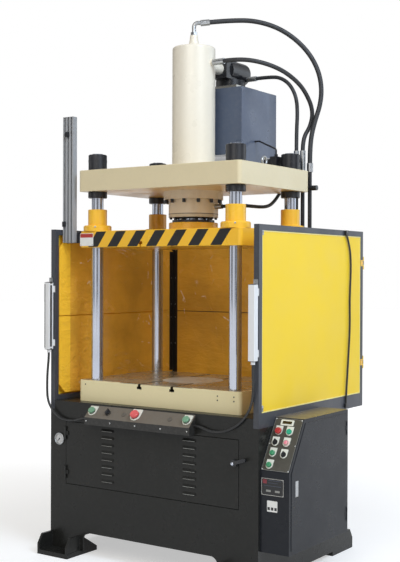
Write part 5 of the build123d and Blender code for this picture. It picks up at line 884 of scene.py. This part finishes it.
# Light curtains: dark window strip, end caps and mounting angles
ANGLE_THICKNESS = 2.0
bm = bmesh.new()
for x, inward in ((CURTAIN_LEFT, 1), (CURTAIN_RIGHT, -1)):
    window = to_side(inward, x + inward * 13.6, CURTAIN_Y, CURTAIN_MIDDLE)
    slab(bm, rounded(11, 286, 2), window, 0, 0.7, 0)
    for z, direction in zip(CURTAIN_ENDS, (DOWN, UP)):
        cap = frame_matrix((x, CURTAIN_Y, z), direction, RIGHT)
        slab(bm, rounded(29.6, 29.6, 3), cap, -4.0, 1.5, 0, 0.5)
    top = CURTAIN_ENDS[1]
    angle_x = x - inward * 2
    upright = to_front(angle_x, BASE_FRONT, top + 10)
    slab(bm, rounded(22, 26, 2), upright, 0.0, ANGLE_THICKNESS, 1, 0.3)
    pan_screw(bm, raised(upright, ANGLE_THICKNESS, up=5), 3.2, 1, 2)
    shelf = frame_matrix((angle_x, BASE_FRONT - 11, top + 1.5), UP, RIGHT)
    slab(bm, rounded(22, 22, 2), shelf, 0.0, ANGLE_THICKNESS, 1, 0.3)
front_strip = to_front(CURTAIN_LEFT - 11, CURTAIN_Y - 15, CURTAIN_MIDDLE)
slab(bm, rounded(5, 296, 2), front_strip, 0, 0.5, 0)
place(mesh_piece("curtain_trim", bm, [BLACK_PLASTIC, ZINC, RECESS_SHADE_AND_PRINT], SMOOTH_ANGLE), FIXED)

# End cap and screws of the limit rail
RAIL_TOP = 2023
bm = bmesh.new()
cap = frame_matrix((RAIL_X, RAIL_FRONT + 14, RAIL_TOP), UP, RIGHT)
slab(bm, rounded(62.6, 28.6, 2), cap, 0, 2.0, 0, 0.5)
for z in (1460, 1479):
    for x in (-526, -500, -470):
        cap_screw(bm, frame_matrix((x, RAIL_FRONT + 36, z), BACK, RIGHT), 4.5, 4, 1, 2)
place(mesh_piece("rail_trim", bm, [RAIL_GREY, BLACK_STEEL, RECESS_SHADE_AND_PRINT], SMOOTH_ANGLE), SLIDE)

# Screw holes in the bed's front corners, thin near-black discs that are painted shade
BED_HOLES = ((-405, 780), (330, 775), (330, 757), (413, 776), (413, 758))
bm = bmesh.new()
for x, z in BED_HOLES:
    lathe(bm, [(3.4, 0), (3.4, 0.25), (0, 0.25)], to_front(x, BED_FRONT, z), 20)
place(mesh_piece("bed_screw_holes", bm, [RECESS_SHADE_AND_PRINT]), FIXED)


# Cable clip on the right guard's top rail, and the gland where the cable goes in below
CABLE_END_Y = 386
CLIP_HEIGHT = 10
bm = bmesh.new()
clip = to_side(1, BASE_SIDE, CABLE_END_Y, 1486)
slab(bm, rounded(26, 24, 4), clip, 0, CLIP_HEIGHT, 0, 1.0)
pan_screw(bm, raised(clip, CLIP_HEIGHT, up=5), 3, 1, 2)
slab(bm, rounded(22, 22, 4), to_side(1, BASE_SIDE, CABLE_END_Y, 680), 0, CLIP_HEIGHT, 0, 1.0)
place(mesh_piece("cable_clips", bm, [BLACK_PLASTIC, ZINC, RECESS_SHADE_AND_PRINT], SMOOTH_ANGLE), FIXED)


# Weld beads along the foot gussets
BEAD_RADIUS = 2.2
BEAD_PITCH = 3.0
BEAD_SIDES = 8
BEAD_SMOOTH_ANGLE = 60


def bead(bm, start, end):
    """Rippled weld bead between two points."""
    start = Vector(start)
    end = Vector(end)
    length = (end - start).length
    direction = (end - start).normalized()
    side = direction.orthogonal().normalized()
    other = direction.cross(side)
    steps = max(4, int(length / BEAD_PITCH))
    rings = []
    for step in range(steps + 1):
        centre = start + direction * (length * step / steps)
        swell = BEAD_RADIUS * (0.85 + 0.25 * (step % 2)) * (0.3 if step in (0, steps) else 1)
        points = []
        for turn in range(BEAD_SIDES):
            angle = 2 * math.pi * turn / BEAD_SIDES
            points.append(bm.verts.new(centre + (side * math.cos(angle) + other * math.sin(angle)) * swell))
        rings.append(points)
    for low, high in zip(rings, rings[1:]):
        for turn in range(BEAD_SIDES):
            after = (turn + 1) % BEAD_SIDES
            bm.faces.new((low[turn], low[after], high[after], high[turn]))
    bm.faces.new(rings[0])
    bm.faces.new(rings[-1][::-1])


GUSSET_FACES = (388, 400, 557, 568.9)
bm = bmesh.new()
for side in SIDES:
    for reach in GUSSET_FACES:
        x = side * reach
        bead(bm, (x, BASE_FRONT - 88, 21), (x, BASE_FRONT - 2, 21))
        bead(bm, (x, BASE_FRONT - 1, 24), (x, BASE_FRONT - 1, 88))
place(mesh_piece("foot_welds", bm, [CHARCOAL], BEAD_SMOOTH_ANGLE), FIXED, "charcoal_paint")


# Hoses and cables
def route_curve(name, points, radius, material):
    """Smooth round curve along the route's given points."""
    curve = bpy.data.curves.new(name, "CURVE")
    curve.dimensions = "3D"
    spline = curve.splines.new("NURBS")
    spline.points.add(len(points) - 1)
    for knot, point in zip(spline.points, points):
        knot.co = (*[c * MM for c in point], 1.0)
    spline.order_u = 3
    spline.use_endpoint_u = True
    curve.resolution_u = 10
    curve.bevel_depth = radius * MM
    curve.bevel_resolution = 5
    curve.use_fill_caps = True
    curve.materials.append(material)
    obj = bpy.data.objects.new(name, curve)
    bpy.context.scene.collection.objects.link(obj)
    return obj


def route_length(obj):
    """Length of the drawn centreline, in metres."""
    data = obj.data.copy()
    data.bevel_depth = 0
    data.use_fill_caps = False
    probe = bpy.data.objects.new("probe", data)
    bpy.context.scene.collection.objects.link(probe)
    bpy.context.view_layer.update()
    mesh = probe.evaluated_get(bpy.context.evaluated_depsgraph_get()).to_mesh()
    points = [vertex.co for vertex in mesh.vertices]
    total = sum((points[edge.vertices[0]] - points[edge.vertices[1]]).length for edge in mesh.edges)
    bpy.data.objects.remove(probe)
    bpy.data.curves.remove(data)
    return total


RUBBER = ("stiff", "hose_rubber", HOSE)
LEAD = ("medium", "cable_jacket", JACKET)
CABLE_X = 574.0
GUARD_CABLE = (
    (386, 1478), (412, 1436), (430, 1376), (431, 1300), (424, 1225), (421, 1150), (424, 1075),
    (420, 1000), (411, 925), (403, 850), (394, 780), (388, 730), (386, 690),
)
ROUTES = {
    "hose_top": (11.0, RUBBER, (
        (57, 3, 2460), (126, 57, 2470), (229, 137, 2472), (331, 216, 2430), (418, 284, 2340),
        (466, 321, 2230), (473, 327, 2110), (442, 304, 1990), (429, 292.5, 1900), (429, 292.5, 1811),
    )),
    "hose_side": (10.0, RUBBER, (
        (168, -41.5, 2262), (247, -41.5, 2262), (326, 12, 2250), (383, 95, 2224), (412, 180, 2186),
        (425, 250, 2142), (430, 320, 2065), (415, 325, 1990), (391, 292.5, 1930), (391, 292.5, 1872),
    )),
    "hose_pilot": (9.0, RUBBER, (
        (125, 312, 2240), (195, 312, 2240), (262, 303, 2230), (320, 296, 2190),
        (356, 292, 2125), (363, 291, 2050), (357, 292.5, 1965), (357, 292.5, 1873),
    )),
    "hose_lower": (8.0, RUBBER, (
        (160, -41.5, 1601), (214, -41.5, 1601), (257, -16, 1603), (279, 29, 1601), (281, 90, 1601),
        (276, 155, 1606), (268, 214, 1620), (268, 262, 1652), (285, 291, 1700), (309, 299, 1748),
    )),
    "guard_cable": (4.5, LEAD, tuple((CABLE_X, y, z) for y, z in GUARD_CABLE)),
    "curtain_cable_left": (5.5, LEAD, (
        (CURTAIN_LEFT, CURTAIN_Y, 925), (CURTAIN_LEFT, CURTAIN_Y, 900), (-573, -403, 868),
        (-580, -400, 828), (-583, -398.5, 788), (-583, -398.5, 746), (-580, -399, 711), (-565, -400, 676),
        (-533, -400.5, 643), (-497, -400.5, 623), (-455, -400.5, 616), (-414, -401.5, 618),
        (-378, -403.5, 628), (-350, CURTAIN_Y, 636), (CONSOLE_LEFT, CURTAIN_Y, 636),
    )),
    "curtain_cable_right": (5.5, LEAD, (
        (CURTAIN_RIGHT, CURTAIN_Y, 925), (CURTAIN_RIGHT, CURTAIN_Y, 875), (CURTAIN_RIGHT, -401, 820),
        (543, -397, 765), (518, -396, 714), (480, -397, 674), (430, -398, 646), (375, -397, 633),
        (325, -397, 636), (290, -397, 650), (256, -397, 650),
    )),
}
for name, (radius, (stiffness, slot_name, material), points) in ROUTES.items():
    rope = route_curve("visual_" + name, points, radius, material)
    place(rope, FIXED, slot_name)
    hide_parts(name)
    route_length(rope)


# Floor, lights, camera
WHITE = (1, 1, 1, 1)
FLOOR_HALF = 30000
FLOOR_DROP = -0.5
FLOOR_COLOUR = (0.6, 0.6, 0.6, 1)
FLOOR_GLOW = {1: 1.2, 2: 4.0, 3: 0.5, 4: 0.85}


def stage_floor():
    """Large pale floor that reads as white but keeps the shadow."""
    bm = bmesh.new()
    corners = bar(-FLOOR_HALF, FLOOR_HALF, -FLOOR_HALF, FLOOR_HALF)
    bm.faces.new([bm.verts.new((x, y, FLOOR_DROP)) for x, y in corners])
    g = Graph("floor_white")
    g.set("Base Color", FLOOR_COLOUR)
    g.set("Roughness", 0.8)
    path = g.add("ShaderNodeLightPath").outputs
    seen = g.math("MAXIMUM", path["Is Camera Ray"], path["Is Glossy Ray"])
    seen = g.math("MAXIMUM", seen, path["Is Transmission Ray"])
    away = g.add("ShaderNodeVectorMath", {0: g.coords}, operation="LENGTH").outputs["Value"]
    strength = g.add("ShaderNodeMapRange", {0: away, **FLOOR_GLOW}).outputs[0]
    glow = g.add("ShaderNodeEmission", {"Color": WHITE, "Strength": strength}).outputs[0]
    none = g.add("ShaderNodeEmission", {"Color": WHITE, "Strength": 0.0}).outputs[0]
    extra = g.add("ShaderNodeMixShader", {0: seen, 1: none, 2: glow}).outputs[0]
    total = g.add("ShaderNodeAddShader", {0: g.bsdf.outputs[0], 1: extra}).outputs[0]
    g.tree.links.new(total, g.output.inputs["Surface"])
    mesh_piece("stage_floor", bm, [g.material])


stage_floor()

AMBIENT = 0.38
MIRROR_LOW = 0.15
MIRROR_HIGH = 1.1
MIRROR_BANDS = 5
MIRROR_TURN = math.radians(-186.5)
scene = bpy.context.scene
world = bpy.data.worlds.new("studio")
scene.world = world
world.use_nodes = True
sky = world.node_tree


def sky_math(operation, *values):
    """Result of one Math node of the world."""
    return new_node(sky, "ShaderNodeMath", dict(enumerate(values)), operation=operation).outputs[0]


# White to the camera, plain for lighting, and soft window bands all round for mirror reflections
path = new_node(sky, "ShaderNodeLightPath").outputs
generated = new_node(sky, "ShaderNodeTexCoord").outputs["Generated"]
direction = new_node(sky, "ShaderNodeSeparateXYZ", {0: generated}).outputs
azimuth = sky_math("ARCTAN2", direction["Y"], direction["X"])
wave = sky_math("SINE", sky_math("MULTIPLY_ADD", azimuth, MIRROR_BANDS, MIRROR_TURN))
mirror_levels = {0: wave, 1: -1.0, 2: 1.0, 3: MIRROR_LOW, 4: MIRROR_HIGH}
bands = new_node(sky, "ShaderNodeMapRange", mirror_levels).outputs[0]
seen = sky_math("MAXIMUM", path["Is Camera Ray"], path["Is Transmission Ray"])
plain = new_node(sky, "ShaderNodeMapRange", {0: seen, 3: AMBIENT, 4: 1.0}).outputs[0]
level = sky_math("MULTIPLY_ADD", sky_math("SUBTRACT", bands, plain), path["Is Glossy Ray"], plain)
background = sky.nodes["Background"]
sky.links.new(level, background.inputs["Strength"])
background.inputs["Color"].default_value = WHITE

LAMP_TARGET = Vector((0, 0, 1.2))
LAMP_DISTANCE = 6.5


def area_light(name, towards, size, power, colour):
    """Square lamp seen in a direction from the middle of the press."""
    data = bpy.data.lights.new(name, "AREA")
    data.size = size
    data.energy = power
    data.color = colour
    lamp = bpy.data.objects.new(name, data)
    lamp.location = LAMP_TARGET + Vector(towards).normalized() * LAMP_DISTANCE
    lamp.rotation_euler = (LAMP_TARGET - lamp.location).to_track_quat("-Z", "Y").to_euler()
    scene.collection.objects.link(lamp)


area_light("key_right", (0.75, -0.25, 0.6), 3.0, 285, (0.76, 0.89, 1.06))
area_light("fill_front", (0.25, -0.85, 0.55), 3.5, 135, (1.0, 0.95, 0.86))
area_light("window_rear", (0.62, 0.75, 0.25), 3.5, 36, (0.72, 0.86, 1.0))

CAMERA_PLACE = (2.79776, -4.03718, 1.29655)
CAMERA_YAW = 34.63
CAMERA_PITCH = 0.43
CAMERA_ROLL = 0.18
FOCAL_PIXELS = 1050.5
IMAGE_HEIGHT = 562
SENSOR = 36.0
camera_data = bpy.data.cameras.new("camera")
camera_data.sensor_width = SENSOR
camera_data.sensor_fit = "AUTO"
camera_data.lens = SENSOR * FOCAL_PIXELS / IMAGE_HEIGHT
camera_data.clip_end = 100
camera = bpy.data.objects.new("camera", camera_data)
turn = Matrix.Rotation(math.radians(CAMERA_YAW), 4, "Z")
tilt = Matrix.Rotation(math.radians(90 - CAMERA_PITCH), 4, "X")
roll = Matrix.Rotation(math.radians(CAMERA_ROLL), 4, "Z")
camera.matrix_world = Matrix.Translation(CAMERA_PLACE) @ turn @ tilt @ roll
scene.collection.objects.link(camera)
scene.camera = camera
scene.view_settings.view_transform = "Standard"
